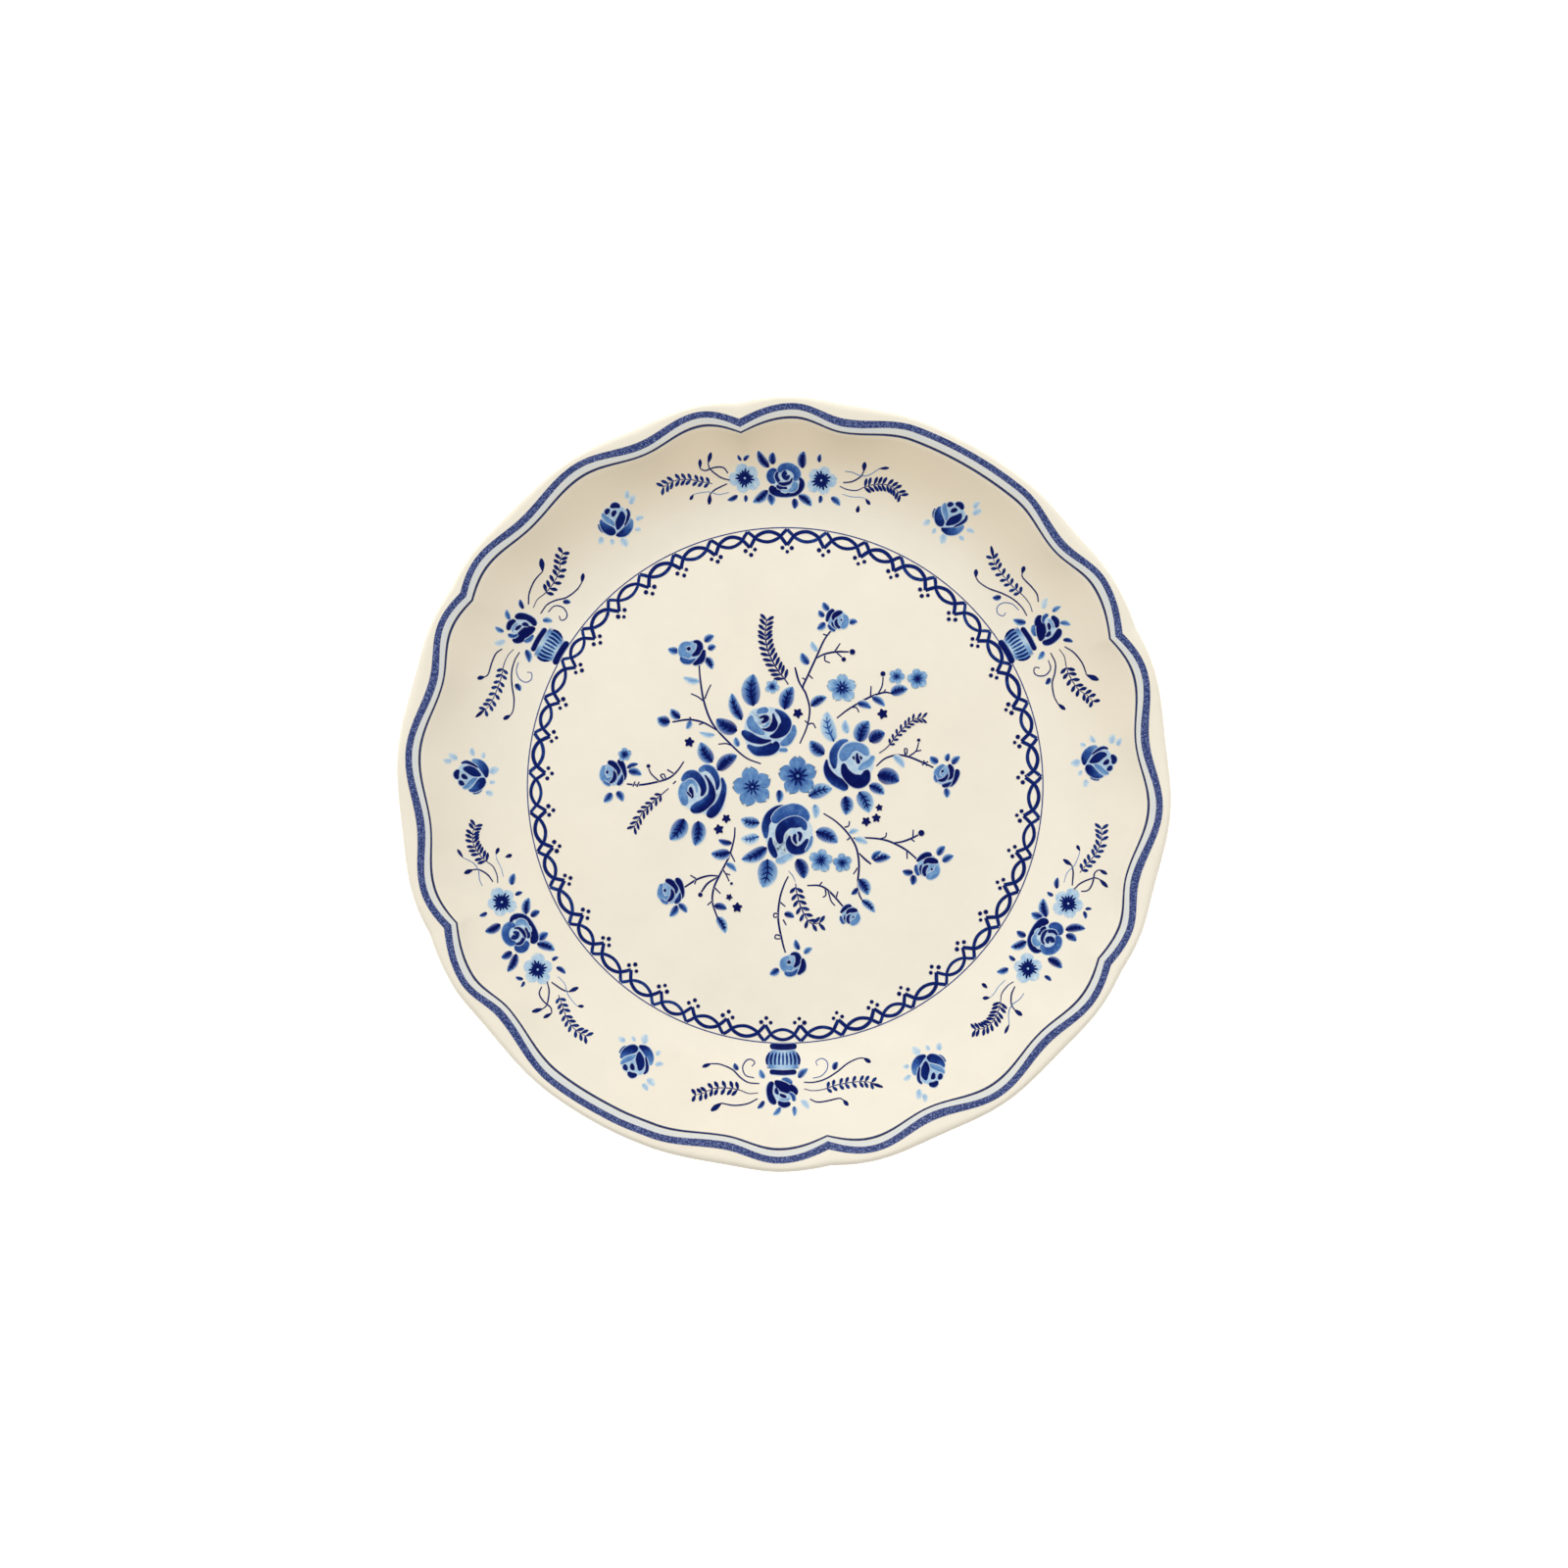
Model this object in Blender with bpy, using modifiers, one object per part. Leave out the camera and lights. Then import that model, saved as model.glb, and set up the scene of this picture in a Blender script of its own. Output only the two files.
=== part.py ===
"""China dinner plate with a moulded, scalloped lip and a blue printed decoration.

The plate stands on Z = 0 with its centre on the Z axis, +Z up and +Y towards the top of the
decoration. Everything is laid out on a round plate first. One function, scallop(), then bends
the rim of every piece into the same six lobes, so that the coats stay nested.
"""

import math

import bmesh
import bpy

MM = 0.001

# Driving dimensions, in metres.
EDGE_RADIUS = 133.5 * MM  # mean radius of the outer edge
WELL_HEIGHT = 7.0 * MM  # front surface at the lowest ring of the well
WELL_DOME = 0.5 * MM  # how much the middle of the well stands above that ring
DOME_FROM = 55 * MM
VALLEY_RADIUS = 87.3 * MM
BASE_HEIGHT = 3.2 * MM  # underside of the well, inside the foot ring
WALL_THICKNESS = 4.0 * MM
LIP_THICKNESS = 3.4 * MM
LIP_FROM = 123 * MM
FOOT_OUTER = 85.2 * MM
FOOT_INNER = 80.8 * MM
FOOT_FLARE = 1.2 * MM
GLAZE_LINE = 1.2 * MM  # the glaze is wiped off the foot ring below this height

# The rise of the front surface: its slope at each radius, straight between the stations.
SLOPES = (
    (VALLEY_RADIUS, 0.0),
    (91 * MM, 0.15),
    (LIP_FROM, 0.62),
    (127.5 * MM, 0.22),
    (EDGE_RADIUS, 0.08),
)

# The six lobes: two long ones on the SCALLOP_AXIS and four short ones between them.
SCALLOP_AXIS = 60
LONG_HALF = 36
SHORT_SPAN = 54
LONG_WAVE = ((0, -0.8), (8.5, 1.0), (17, -1.0), (27, 1.0), (36, 1.0))
SHORT_WAVE = ((0, -0.8), (6.5, 1.0), (16, -1.0), (27, 1.0))
# How far the wave moves a point outwards and upwards, by the point's radius.
WAVE_OUT = (
    (108 * MM, 0.0),
    (124.8 * MM, 1.75 * MM),
    (128.3 * MM, 2.1 * MM),
    (EDGE_RADIUS, 0.55 * MM),
)
WAVE_UP = ((108 * MM, 0.0), (124.8 * MM, 0.5 * MM), (EDGE_RADIUS, 0.5 * MM))

# Coats: each one keeps GAP to what it lies on.
GAP = 0.3 * MM
GLAZE = 0.3 * MM
PRINT = 0.3 * MM
SEGMENTS = 90  # the sharp notches of the long lobes fall on these steps
DRAPE_STEP = 10 * MM  # a printed sheet is cut this fine to follow the rim

# The decoration, by radius.
LINE_RADIUS = 124.8 * MM
LINE_WIDTH = 0.6 * MM
BAND_RADIUS = 128.3 * MM
BAND_WIDTH = 2.4 * MM
CHAIN_OUTER = 89.6 * MM
CHAIN_INNER = 84.6 * MM
CHAIN_TIP = 81.0 * MM
CHAIN_REPEATS = 41
ROSE_RADIUS = 108.9 * MM
ROSE_SIZE = 9.3 * MM
ROSE_LOBE = 1.1 * MM
ROSE_LOBES = 7
URN_ANGLES = (30, 150, 270)
GARLAND_ANGLES = (90, 210, 330)
ROSE_ANGLES = (3, 57, 123, 177, 243, 297)

# Outlines of the printed sheets: (degrees, millimetres from the plate's centre).
URN_OUTLINE = (
    (-3.2, 91.2), (3.2, 91.2), (3.8, 93), (3.8, 97), (9, 97), (12, 99), (17.4, 100), (17, 102.2),
    (11, 104.6), (18.2, 110), (17.6, 112), (12.2, 112.3), (12, 115), (8, 114), (3, 115.4), (-1, 115),
    (-4.5, 113.4), (-10, 115.6), (-12, 114), (-15, 112.6), (-15, 110.6), (-10, 106.6), (-11, 103),
    (-14.8, 101.5), (-13.4, 98.6), (-8, 96.8), (-3.8, 97.4), (-3.8, 93),
)
GARLAND_OUTLINE = (
    (-22.5, 109), (-18, 112.6), (-17.6, 115.6), (-14, 114), (-9, 112.5), (-4, 114.8), (0, 113.6),
    (4, 115.4), (9, 114.6), (13, 117), (15.6, 116), (16, 112), (22.5, 113), (22.4, 110.4), (16.5, 107),
    (18.6, 103.6), (15.5, 100.5), (10.5, 100), (4, 97.4), (-2, 96.2), (-7, 97.6), (-10.5, 98.2),
    (-14.8, 97.4), (-15.4, 101.5), (-13, 104), (-17, 106),
)
BOUQUET_OUTLINE = (
    (3, 61), (10, 42), (18, 38), (25, 56), (32, 50), (39, 62), (50, 44), (62, 42), (72, 65), (79, 48),
    (88, 46), (96.5, 60), (106, 46), (116, 44), (124.5, 61), (134, 45), (150, 38), (161, 44), (170, 59),
    (177, 64), (184, 46), (196, 55), (206, 42), (216, 44), (223, 60), (232, 44), (250, 36), (264, 44),
    (272.8, 67), (280, 52), (286, 54), (297, 57), (306, 40), (320, 42), (330.6, 63), (338, 46), (350, 42),
)


def clear_scene():
    for thing in list(bpy.data.objects):
        bpy.data.objects.remove(thing, do_unlink=True)


def plate_collection():
    collection = bpy.data.collections.new("china_dinner_plate")
    bpy.context.scene.collection.children.link(collection)
    return collection


def material(name, colour, roughness):
    made = bpy.data.materials.new(name)
    made.use_nodes = True
    shader = made.node_tree.nodes["Principled BSDF"]
    shader.inputs["Base Color"].default_value = (*colour, 1.0)
    shader.inputs["Roughness"].default_value = roughness
    made.diffuse_color = (*colour, 1.0)
    return made


def between(stations, at):
    """The value at one place of a curve given by stations, straight between them."""
    if at <= stations[0][0]:
        return stations[0][1]
    for (start, low), (end, high) in zip(stations, stations[1:]):
        if at <= end:
            return low + (high - low) * (at - start) / (end - start)
    return stations[-1][1]


def wave(degrees):
    """The scallop at an angle: 1 on a crest, -1 in a trough, with a sharp notch between lobes."""
    turn = (degrees - SCALLOP_AXIS) % 180
    turn = min(turn, 180 - turn)
    if turn < LONG_HALF:
        stops, along = LONG_WAVE, LONG_HALF - turn
    else:
        stops, along = SHORT_WAVE, min(turn - LONG_HALF, LONG_HALF + SHORT_SPAN - turn)
    for (start, low), (end, high) in zip(stops, stops[1:]):
        if along <= end:
            share = (along - start) / (end - start)
            if start == 0:
                return low + (high - low) * math.sin(share * math.pi / 2)
            return low + (high - low) * (1 - math.cos(share * math.pi)) / 2
    return stops[-1][1]


def front_height(radius):
    """Height of the glazed front surface of the round plate."""
    if radius <= VALLEY_RADIUS:
        share = min(1.0, max(0.0, (radius - DOME_FROM) / (VALLEY_RADIUS - DOME_FROM)))
        return WELL_HEIGHT + WELL_DOME * (1 + math.cos(math.pi * share)) / 2
    height = WELL_HEIGHT
    for (start, low), (end, high) in zip(SLOPES, SLOPES[1:]):
        run = min(radius, end) - start
        if run > 0:
            height += low * run + (high - low) * run * run / (2 * (end - start))
    return height


def under_height(radius):
    """Height of the glazed underside of the rim."""
    thickness = WALL_THICKNESS if radius <= LIP_FROM else LIP_THICKNESS
    return front_height(radius) - thickness


def scallop(mesh):
    """Bends the rim of a piece that was made on the round plate."""
    for vertex in mesh.vertices:
        x, y, z = vertex.co
        radius = math.hypot(x, y)
        if radius <= WAVE_OUT[0][0]:
            continue
        angle = math.atan2(y, x)
        height = wave(math.degrees(angle))
        bent = radius + height * between(WAVE_OUT, radius)
        raised = z + height * between(WAVE_UP, radius)
        vertex.co = (bent * math.cos(angle), bent * math.sin(angle), raised)


def front_path():
    """The front and the rounded edge, as (radius, height), from the axis outwards."""
    radii = [0, 62 * MM, 76 * MM, 89 * MM, 102 * MM, 113 * MM, LIP_FROM, 127.5 * MM]
    path = [(radius, front_height(radius)) for radius in radii]
    half = LIP_THICKNESS / 2
    centre = EDGE_RADIUS - half
    middle = front_height(centre) - half
    for degrees in (90, 30, -30, -90):
        turn = math.radians(degrees)
        path.append((centre + half * math.cos(turn), middle + half * math.sin(turn)))
    return path


def under_path():
    """The underside from the edge in to the foot ring."""
    radii = [126 * MM, 113 * MM, 98 * MM]
    path = [(radius, under_height(radius)) for radius in radii]
    path.append((FOOT_OUTER + FOOT_FLARE, BASE_HEIGHT))
    return path


def inset(path, distance):
    """The path moved towards its right-hand side, where the material is. Points on the axis stay on it."""
    moved = []
    for i, (radius, height) in enumerate(path):
        normals = []
        for a, b in ((i - 1, i), (i, i + 1)):
            if a < 0 or b == len(path):
                continue
            across, up = path[b][0] - path[a][0], path[b][1] - path[a][1]
            length = math.hypot(across, up)
            normals.append((up / length, -across / length))
        mean = [sum(part) / len(normals) for part in zip(*normals)]
        reach = distance / (mean[0] ** 2 + mean[1] ** 2)
        at = 0.0 if radius == 0 else radius + mean[0] * reach
        moved.append((at, height + mean[1] * reach))
    return moved


def evaluated_mesh(thing):
    graph = bpy.context.evaluated_depsgraph_get()
    return bpy.data.meshes.new_from_object(thing.evaluated_get(graph))


def finish_piece(collection, name, mesh, look):
    """Bends the mesh onto the scalloped rim and makes it the named piece."""
    scallop(mesh)
    mesh.materials.clear()
    mesh.materials.append(look)
    mesh.shade_smooth()
    mesh.set_sharp_from_angle(angle=math.radians(40))
    mesh.name = name
    piece = bpy.data.objects.new(name, mesh)
    collection.objects.link(piece)
    return piece


def turned(collection, name, path, look, closed=False):
    """A solid turned round the Z axis from a profile that is closed, or starts and ends on the axis."""
    profile = bpy.data.meshes.new(name + "_profile")
    edges = [(i, i + 1) for i in range(len(path) - 1)]
    if closed:
        edges.append((len(path) - 1, 0))
    profile.from_pydata([(radius, 0, height) for radius, height in path], edges, [])
    guide = bpy.data.objects.new(name + "_profile", profile)
    collection.objects.link(guide)
    screw = guide.modifiers.new("turn", "SCREW")
    screw.axis = "Z"
    screw.angle = 2 * math.pi
    screw.steps = SEGMENTS
    screw.render_steps = SEGMENTS
    screw.use_merge_vertices = True
    screw.merge_threshold = 0.00001
    mesh = evaluated_mesh(guide)
    bpy.data.objects.remove(guide, do_unlink=True)
    return finish_piece(collection, name, mesh, look)


def clay_body(collection, look):
    """One fired piece: well, wall, lip and foot ring, under the glaze and bare on its standing face."""
    depth = GLAZE + GAP
    foot = [(FOOT_OUTER, -depth), (FOOT_INNER, -depth), (FOOT_INNER - FOOT_FLARE, BASE_HEIGHT)]
    outline = front_path() + under_path() + foot + [(0, BASE_HEIGHT)]
    return turned(collection, "clay_body", inset(outline, depth), look)


def foot_side(outer):
    """The point of the foot ring's side at which the glaze ends."""
    share = (GLAZE_LINE + GLAZE + GAP) / (BASE_HEIGHT + GLAZE + GAP)
    if outer:
        return (FOOT_OUTER + FOOT_FLARE * share, GLAZE_LINE)
    return (FOOT_INNER - FOOT_FLARE * share, GLAZE_LINE)


def glaze_coat(collection, look):
    """The glaze over the front, the edge and the underside, down the outside of the foot ring."""
    outside = front_path() + under_path() + [foot_side(outer=True)]
    inside = inset(outside, GLAZE)
    return turned(collection, "glaze_coat", outside + inside[::-1], look)


def base_glaze(collection, look):
    """The glaze on the base, inside the foot ring. Its path is the clay's side of the coat first."""
    outside = [foot_side(outer=False), (FOOT_INNER - FOOT_FLARE, BASE_HEIGHT), (0, BASE_HEIGHT)]
    inside = inset(outside, GLAZE)
    return turned(collection, "base_glaze", inside[::-1] + outside, look)


def polar(degrees, radius):
    turn = math.radians(degrees)
    return (radius * math.cos(turn), radius * math.sin(turn))


def sheet(collection, name, loops, look, smooth=True, drape=True):
    """A printed sheet: a flat outline, given a thickness, cut into a grid and laid on the front."""
    curve = bpy.data.curves.new(name, "CURVE")
    curve.dimensions = "2D"
    curve.fill_mode = "BOTH"
    curve.extrude = PRINT / 2
    curve.resolution_u = 2
    for loop in loops:
        spline = curve.splines.new("BEZIER" if smooth else "POLY")
        points = spline.bezier_points if smooth else spline.points
        points.add(len(loop) - 1)
        for point, (x, y) in zip(points, loop):
            point.co = (x, y, 0) if smooth else (x, y, 0, 1)
            if smooth:
                point.handle_left_type = point.handle_right_type = "AUTO"
        spline.use_cyclic_u = True
    guide = bpy.data.objects.new(name + "_outline", curve)
    collection.objects.link(guide)
    mesh = evaluated_mesh(guide)
    bpy.data.objects.remove(guide, do_unlink=True)
    cut_and_lay(mesh, drape)
    return finish_piece(collection, name, mesh, look)


def cut_and_lay(mesh, drape):
    """Cuts a flat sheet along a square grid and lifts every point to its height over the glaze."""
    grid = bmesh.new()
    grid.from_mesh(mesh)
    bmesh.ops.remove_doubles(grid, verts=grid.verts, dist=0.00001)
    if drape:
        for axis in (0, 1):
            places = [vertex.co[axis] for vertex in grid.verts]
            line = math.floor(min(places) / DRAPE_STEP) + 1
            while line * DRAPE_STEP < max(places):
                point = [0, 0, 0]
                normal = [0, 0, 0]
                point[axis] = line * DRAPE_STEP
                normal[axis] = 1
                bmesh.ops.bisect_plane(
                    grid,
                    geom=grid.verts[:] + grid.edges[:] + grid.faces[:],
                    dist=0.00001,
                    plane_co=point,
                    plane_no=normal,
                )
                line += 1
    bmesh.ops.triangulate(grid, faces=grid.faces[:])
    bmesh.ops.recalc_face_normals(grid, faces=grid.faces[:])
    surface = front_path()
    for vertex in grid.verts:
        upper = vertex.co.z > 0
        radius = math.hypot(vertex.co.x, vertex.co.y)
        vertex.co.z = between(surface, radius) + GAP + (PRINT if upper else 0)
    grid.to_mesh(mesh)
    grid.free()


def ring(collection, name, radius, width, look):
    """A printed stripe that follows the scalloped rim."""
    surface = front_path()
    inner, outer = radius - width / 2, radius + width / 2
    under = [(place, between(surface, place) + GAP) for place in (inner, outer)]
    over = [(place, height + PRINT) for place, height in under]
    return turned(collection, name, [under[0], *over, under[1]], look, closed=True)


def chain_border(collection, look):
    """The ring of linked ovals round the well, with a pointed inner edge."""
    step = 360 / CHAIN_REPEATS
    outer = []
    inner = []
    for i in range(CHAIN_REPEATS):
        outer += [polar(i * step, CHAIN_OUTER), polar((i + 0.5) * step, CHAIN_OUTER)]
        inner += [
            polar((i - 0.16) * step, CHAIN_INNER),
            polar(i * step, CHAIN_TIP),
            polar((i + 0.16) * step, CHAIN_INNER),
        ]
    return sheet(collection, "chain_border_decal", [outer, inner], look, smooth=False, drape=False)


def motif(collection, name, outline, angle, look, drape=True):
    """An urn, garland or bouquet sheet, with its outline turned to its place on the plate."""
    loop = [polar(angle + degrees, radius * MM) for degrees, radius in outline]
    return sheet(collection, name, [loop], look, drape=drape)


def rose(collection, name, angle, look):
    """A round sheet with one lobe for each outer leaf of a rose bud."""
    middle = polar(angle, ROSE_RADIUS)
    loop = []
    for i in range(2 * ROSE_LOBES):
        size = ROSE_SIZE + (ROSE_LOBE if i % 2 else -ROSE_LOBE)
        x, y = polar(angle + i * 180 / ROSE_LOBES, size)
        loop.append((middle[0] + x, middle[1] + y))
    return sheet(collection, name, [loop], look)


def build():
    clear_scene()
    collection = plate_collection()
    bisque = material("bisque_clay", (0.80, 0.72, 0.58), 0.85)
    glaze = material("ivory_glaze", (0.87, 0.80, 0.65), 0.12)
    underglaze = material("base_ivory_glaze", (0.85, 0.78, 0.63), 0.14)
    clay_body(collection, bisque)
    glaze_coat(collection, glaze)
    base_glaze(collection, underglaze)

    cobalt = material("cobalt_bouquet", (0.03, 0.08, 0.35), 0.15)
    motif(collection, "centre_bouquet_decal", BOUQUET_OUTLINE, 0, cobalt, drape=False)
    chain_border(collection, material("cobalt_chain", (0.02, 0.06, 0.32), 0.15))
    for i, angle in enumerate(URN_ANGLES, 1):
        blue = material(f"cobalt_urn_{i}", (0.04, 0.10, 0.38), 0.15)
        motif(collection, f"urn_decal_{i}", URN_OUTLINE, angle, blue)
    for i, angle in enumerate(GARLAND_ANGLES, 1):
        blue = material(f"cobalt_garland_{i}", (0.04, 0.10, 0.38), 0.15)
        motif(collection, f"garland_decal_{i}", GARLAND_OUTLINE, angle, blue)
    for i, angle in enumerate(ROSE_ANGLES, 1):
        blue = material(f"cobalt_rose_{i}", (0.03, 0.09, 0.36), 0.15)
        rose(collection, f"rose_decal_{i}", angle, blue)
    band = material("cobalt_band", (0.07, 0.09, 0.36), 0.2)
    ring(collection, "wide_edge_band", BAND_RADIUS, BAND_WIDTH, band)
    line = material("cobalt_line", (0.05, 0.06, 0.20), 0.2)
    ring(collection, "thin_edge_line", LINE_RADIUS, LINE_WIDTH, line)


build()
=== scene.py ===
"""Looks of the china dinner plate: a glazed, scalloped plate with a blue printed decoration.

Lengths are in millimetres and angles in degrees, counter-clockwise from +X, until a mesh is made.
The print is drawn flat, as seen from above, and then laid on the glazed front.
"""

import math

import bpy
import numpy as np
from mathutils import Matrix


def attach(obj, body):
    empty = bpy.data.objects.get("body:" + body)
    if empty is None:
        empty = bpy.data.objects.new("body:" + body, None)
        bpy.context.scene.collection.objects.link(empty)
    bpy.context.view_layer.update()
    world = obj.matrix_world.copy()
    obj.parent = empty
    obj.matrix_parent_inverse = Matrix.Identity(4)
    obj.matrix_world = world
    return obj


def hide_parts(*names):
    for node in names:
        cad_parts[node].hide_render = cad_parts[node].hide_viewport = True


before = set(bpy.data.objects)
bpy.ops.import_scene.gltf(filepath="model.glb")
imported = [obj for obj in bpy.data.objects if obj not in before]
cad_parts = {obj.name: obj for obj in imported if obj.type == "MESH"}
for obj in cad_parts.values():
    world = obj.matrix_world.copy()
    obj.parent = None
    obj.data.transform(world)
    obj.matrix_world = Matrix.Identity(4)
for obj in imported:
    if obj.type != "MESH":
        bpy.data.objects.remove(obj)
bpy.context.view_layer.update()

MM = 0.001

# ---------------------------------------------------------------- camera, light and floor

CAMERA_LENS = 200.0
CAMERA_WIDTH = 541.0  # what the camera sees at the height of the rim
RIM_PLANE = 21.5


def make_camera():
    data = bpy.data.cameras.new("camera")
    data.lens = CAMERA_LENS
    data.sensor_width = 36.0
    data.clip_end = 50.0
    camera = bpy.data.objects.new("camera", data)
    distance = CAMERA_WIDTH * CAMERA_LENS / data.sensor_width
    camera.location = (0, 0, (distance + RIM_PLANE) * MM)
    bpy.context.scene.collection.objects.link(camera)
    bpy.context.scene.camera = camera


def area_light(name, direction, distance, size, power, colour, gloss=True):
    data = bpy.data.lights.new(name, "AREA")
    data.shape = "DISK"
    data.size = size
    data.energy = power
    data.color = colour
    light = bpy.data.objects.new(name, data)
    azimuth, zenith = (math.radians(a) for a in direction)
    light.location = (
        distance * math.sin(zenith) * math.cos(azimuth),
        distance * math.sin(zenith) * math.sin(azimuth),
        distance * math.cos(zenith),
    )
    light.rotation_euler = (0, zenith, azimuth)
    light.visible_glossy = gloss
    bpy.context.scene.collection.objects.link(light)


def make_studio():
    bpy.context.scene.view_settings.view_transform = "Standard"
    world = bpy.data.worlds.new("studio")
    world.use_nodes = True
    backdrop = world.node_tree.nodes["Background"]
    backdrop.inputs["Color"].default_value = (1.0, 0.95, 0.86, 1)
    backdrop.inputs["Strength"].default_value = 0.1
    bpy.context.scene.world = world
    area_light("key", (92, 21), 4.0, 1.6, 166, (1.0, 0.992, 0.985), gloss=False)
    area_light("side_box", (150, 72), 3.0, 1.2, 9, (1, 1, 1))

    floor_mesh = bpy.data.meshes.new("floor")
    half = 4.0
    corners = [(-half, -half, 0), (half, -half, 0), (half, half, 0), (-half, half, 0)]
    floor_mesh.from_pydata(corners, [], [(0, 1, 2, 3)])
    floor = bpy.data.objects.new("floor", floor_mesh)
    bpy.context.scene.collection.objects.link(floor)
    paper = bpy.data.materials.new("white_paper")
    paper.use_nodes = True
    shader = paper.node_tree.nodes["Principled BSDF"]
    shader.inputs["Base Color"].default_value = (0.95, 0.95, 0.95, 1)
    shader.inputs["Roughness"].default_value = 0.9
    shader.inputs["Emission Color"].default_value = (1, 1, 1, 1)
    shader.inputs["Emission Strength"].default_value = 0.75
    floor_mesh.materials.append(paper)


# ---------------------------------------------------------------- the plate's surface

EDGE_RADIUS = 133.5
WELL_HEIGHT = 7.0
WELL_DOME = 0.5
DOME_FROM = 55.0
VALLEY_RADIUS = 87.3
BASE_HEIGHT = 3.2
WALL_THICKNESS = 4.0
LIP_THICKNESS = 3.4
LIP_FROM = 123.0
FOOT_OUTER = 85.2
FOOT_INNER = 80.8
FOOT_FLARE = 1.2
FOOT_GLAZE_LINE = 1.2
GLAZE = 0.3
SEGMENTS = 720
AROUND = np.arange(SEGMENTS) * 360 / SEGMENTS

# Slope of the front at each radius, straight between the stations.
SLOPES = np.array([(VALLEY_RADIUS, 0.0), (91, 0.15), (LIP_FROM, 0.62), (127.5, 0.22), (EDGE_RADIUS, 0.08)])

# The scallops: how far the blue band swings outwards at each angle. A notch is a sharp trough.
NOTCH = True
SCALLOPS = (
    (6.5, -3.0), (17.5, 1.9), (24, -1.9, NOTCH), (32.5, 2.4), (41, -1.8), (51, 2.2), (69.5, 2.3),
    (80.5, -2.1), (88.5, 2.2), (97, -3.0, NOTCH), (103.5, 2.5), (113, -1.6), (123.5, 2.7),
    (134.5, -0.5), (144, 2.7), (149.5, 0.2, NOTCH), (154.5, 2.3), (164, -2.3), (175, 1.7),
    (186.5, -2.3), (196.5, 1.3), (203, -2.4, NOTCH), (211.5, 1.7), (219.5, -2.5), (232, 1.9),
    (243, 1.5), (249, 1.1), (260.5, -2.0), (269, 1.6), (277, -2.9, NOTCH), (284, 1.3),
    (294, -2.9), (305, 1.8), (315.5, -1.8), (325, 1.6), (331, -0.7, NOTCH), (336.5, 1.2),
    (345, -2.9), (356, 1.6),
)
# The share of that swing which a point of each radius takes, and how much of it is a rise.
SHARES = ((104, 0.0), (114, 0.18), (120, 0.5), (124.75, 0.83), (128.3, 1.0), (131, 0.66), (133.5, 0.28))
RISE = 0.24


def eased(x, stations):
    """Smooth interpolation through stations, level at each end."""
    xs = np.array([s[0] for s in stations], float)
    ys = np.array([s[1] for s in stations], float)
    slopes = np.gradient(ys, xs)
    slopes[0] = slopes[-1] = 0
    x = np.clip(x, xs[0], xs[-1])
    i = np.clip(np.searchsorted(xs, x) - 1, 0, len(xs) - 2)
    width = xs[i + 1] - xs[i]
    t = (x - xs[i]) / width
    return (
        ys[i] * (1 + 2 * t) * (1 - t) ** 2
        + ys[i + 1] * t * t * (3 - 2 * t)
        + slopes[i] * width * t * (1 - t) ** 2
        - slopes[i + 1] * width * t * t * (1 - t)
    )


def swing(degrees):
    """How far the blue band swings outwards from its mean radius at these angles."""
    stops = [(s[0], s[1], len(s) > 2) for s in SCALLOPS]
    stops = [(stops[-1][0] - 360, *stops[-1][1:]), *stops, (stops[0][0] + 360, *stops[0][1:])]
    degrees = np.mod(np.asarray(degrees, float), 360)
    result = np.zeros_like(degrees)
    for (start, low, sharp_start), (end, high, sharp_end) in zip(stops, stops[1:]):
        inside = (degrees >= start) & (degrees <= end)
        t = (degrees[inside] - start) / (end - start)
        share = (1 - np.cos(np.pi * t)) / 2
        if sharp_start:
            share = np.sin(np.pi * t / 2)
        if sharp_end:
            share = 1 - np.cos(np.pi * t / 2)
        result[inside] = low + (high - low) * share
    return result


HEIGHT_STEP = 0.05
HEIGHT_RADII = np.arange(VALLEY_RADIUS, EDGE_RADIUS + 1, HEIGHT_STEP)
HEIGHTS = WELL_HEIGHT + HEIGHT_STEP * np.concatenate(
    [[0], np.cumsum(np.interp(HEIGHT_RADII, SLOPES[:, 0], SLOPES[:, 1]))[:-1]]
)


def front_height(radius):
    """Height of the glazed front of the plate before it is scalloped."""
    share = np.clip((radius - DOME_FROM) / (VALLEY_RADIUS - DOME_FROM), 0, 1)
    well = WELL_HEIGHT + WELL_DOME * (1 + np.cos(np.pi * share)) / 2
    return np.where(radius <= VALLEY_RADIUS, well, np.interp(radius, HEIGHT_RADII, HEIGHTS))


def bend(radius, degrees, height):
    """Moves points of the round plate to the scalloped one. Returns (radius, height)."""
    shift = swing(degrees) * eased(radius, SHARES)
    return radius + shift, height + RISE * shift


def laid(x, y, lift):
    """Points of the flat drawing, laid on the front of the scalloped plate."""
    target = np.hypot(x, y)
    degrees = np.degrees(np.arctan2(y, x))
    waves = swing(degrees)
    radius = target.copy()
    for _ in range(6):
        radius = target - waves * eased(radius, SHARES)
    height = front_height(radius) + RISE * waves * eased(radius, SHARES)
    return np.stack([x, y, height + lift], axis=-1)


def make_piece(name, points, faces, material, node, attributes=(), sharp=40):
    """A mesh from points in millimetres, which stands for a CAD node."""
    mesh = bpy.data.meshes.new(name)
    mesh.from_pydata((points * MM).tolist(), [], faces)
    for key, values in attributes:
        attribute = mesh.attributes.new(key, "FLOAT", "POINT")
        attribute.data.foreach_set("value", np.asarray(values, np.float32))
    mesh.materials.append(material)
    mesh.shade_smooth()
    mesh.set_sharp_from_angle(angle=math.radians(sharp))
    mesh.update()
    piece = bpy.data.objects.new(name, mesh)
    bpy.context.scene.collection.objects.link(piece)
    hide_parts(node)
    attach(piece, "root")


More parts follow.
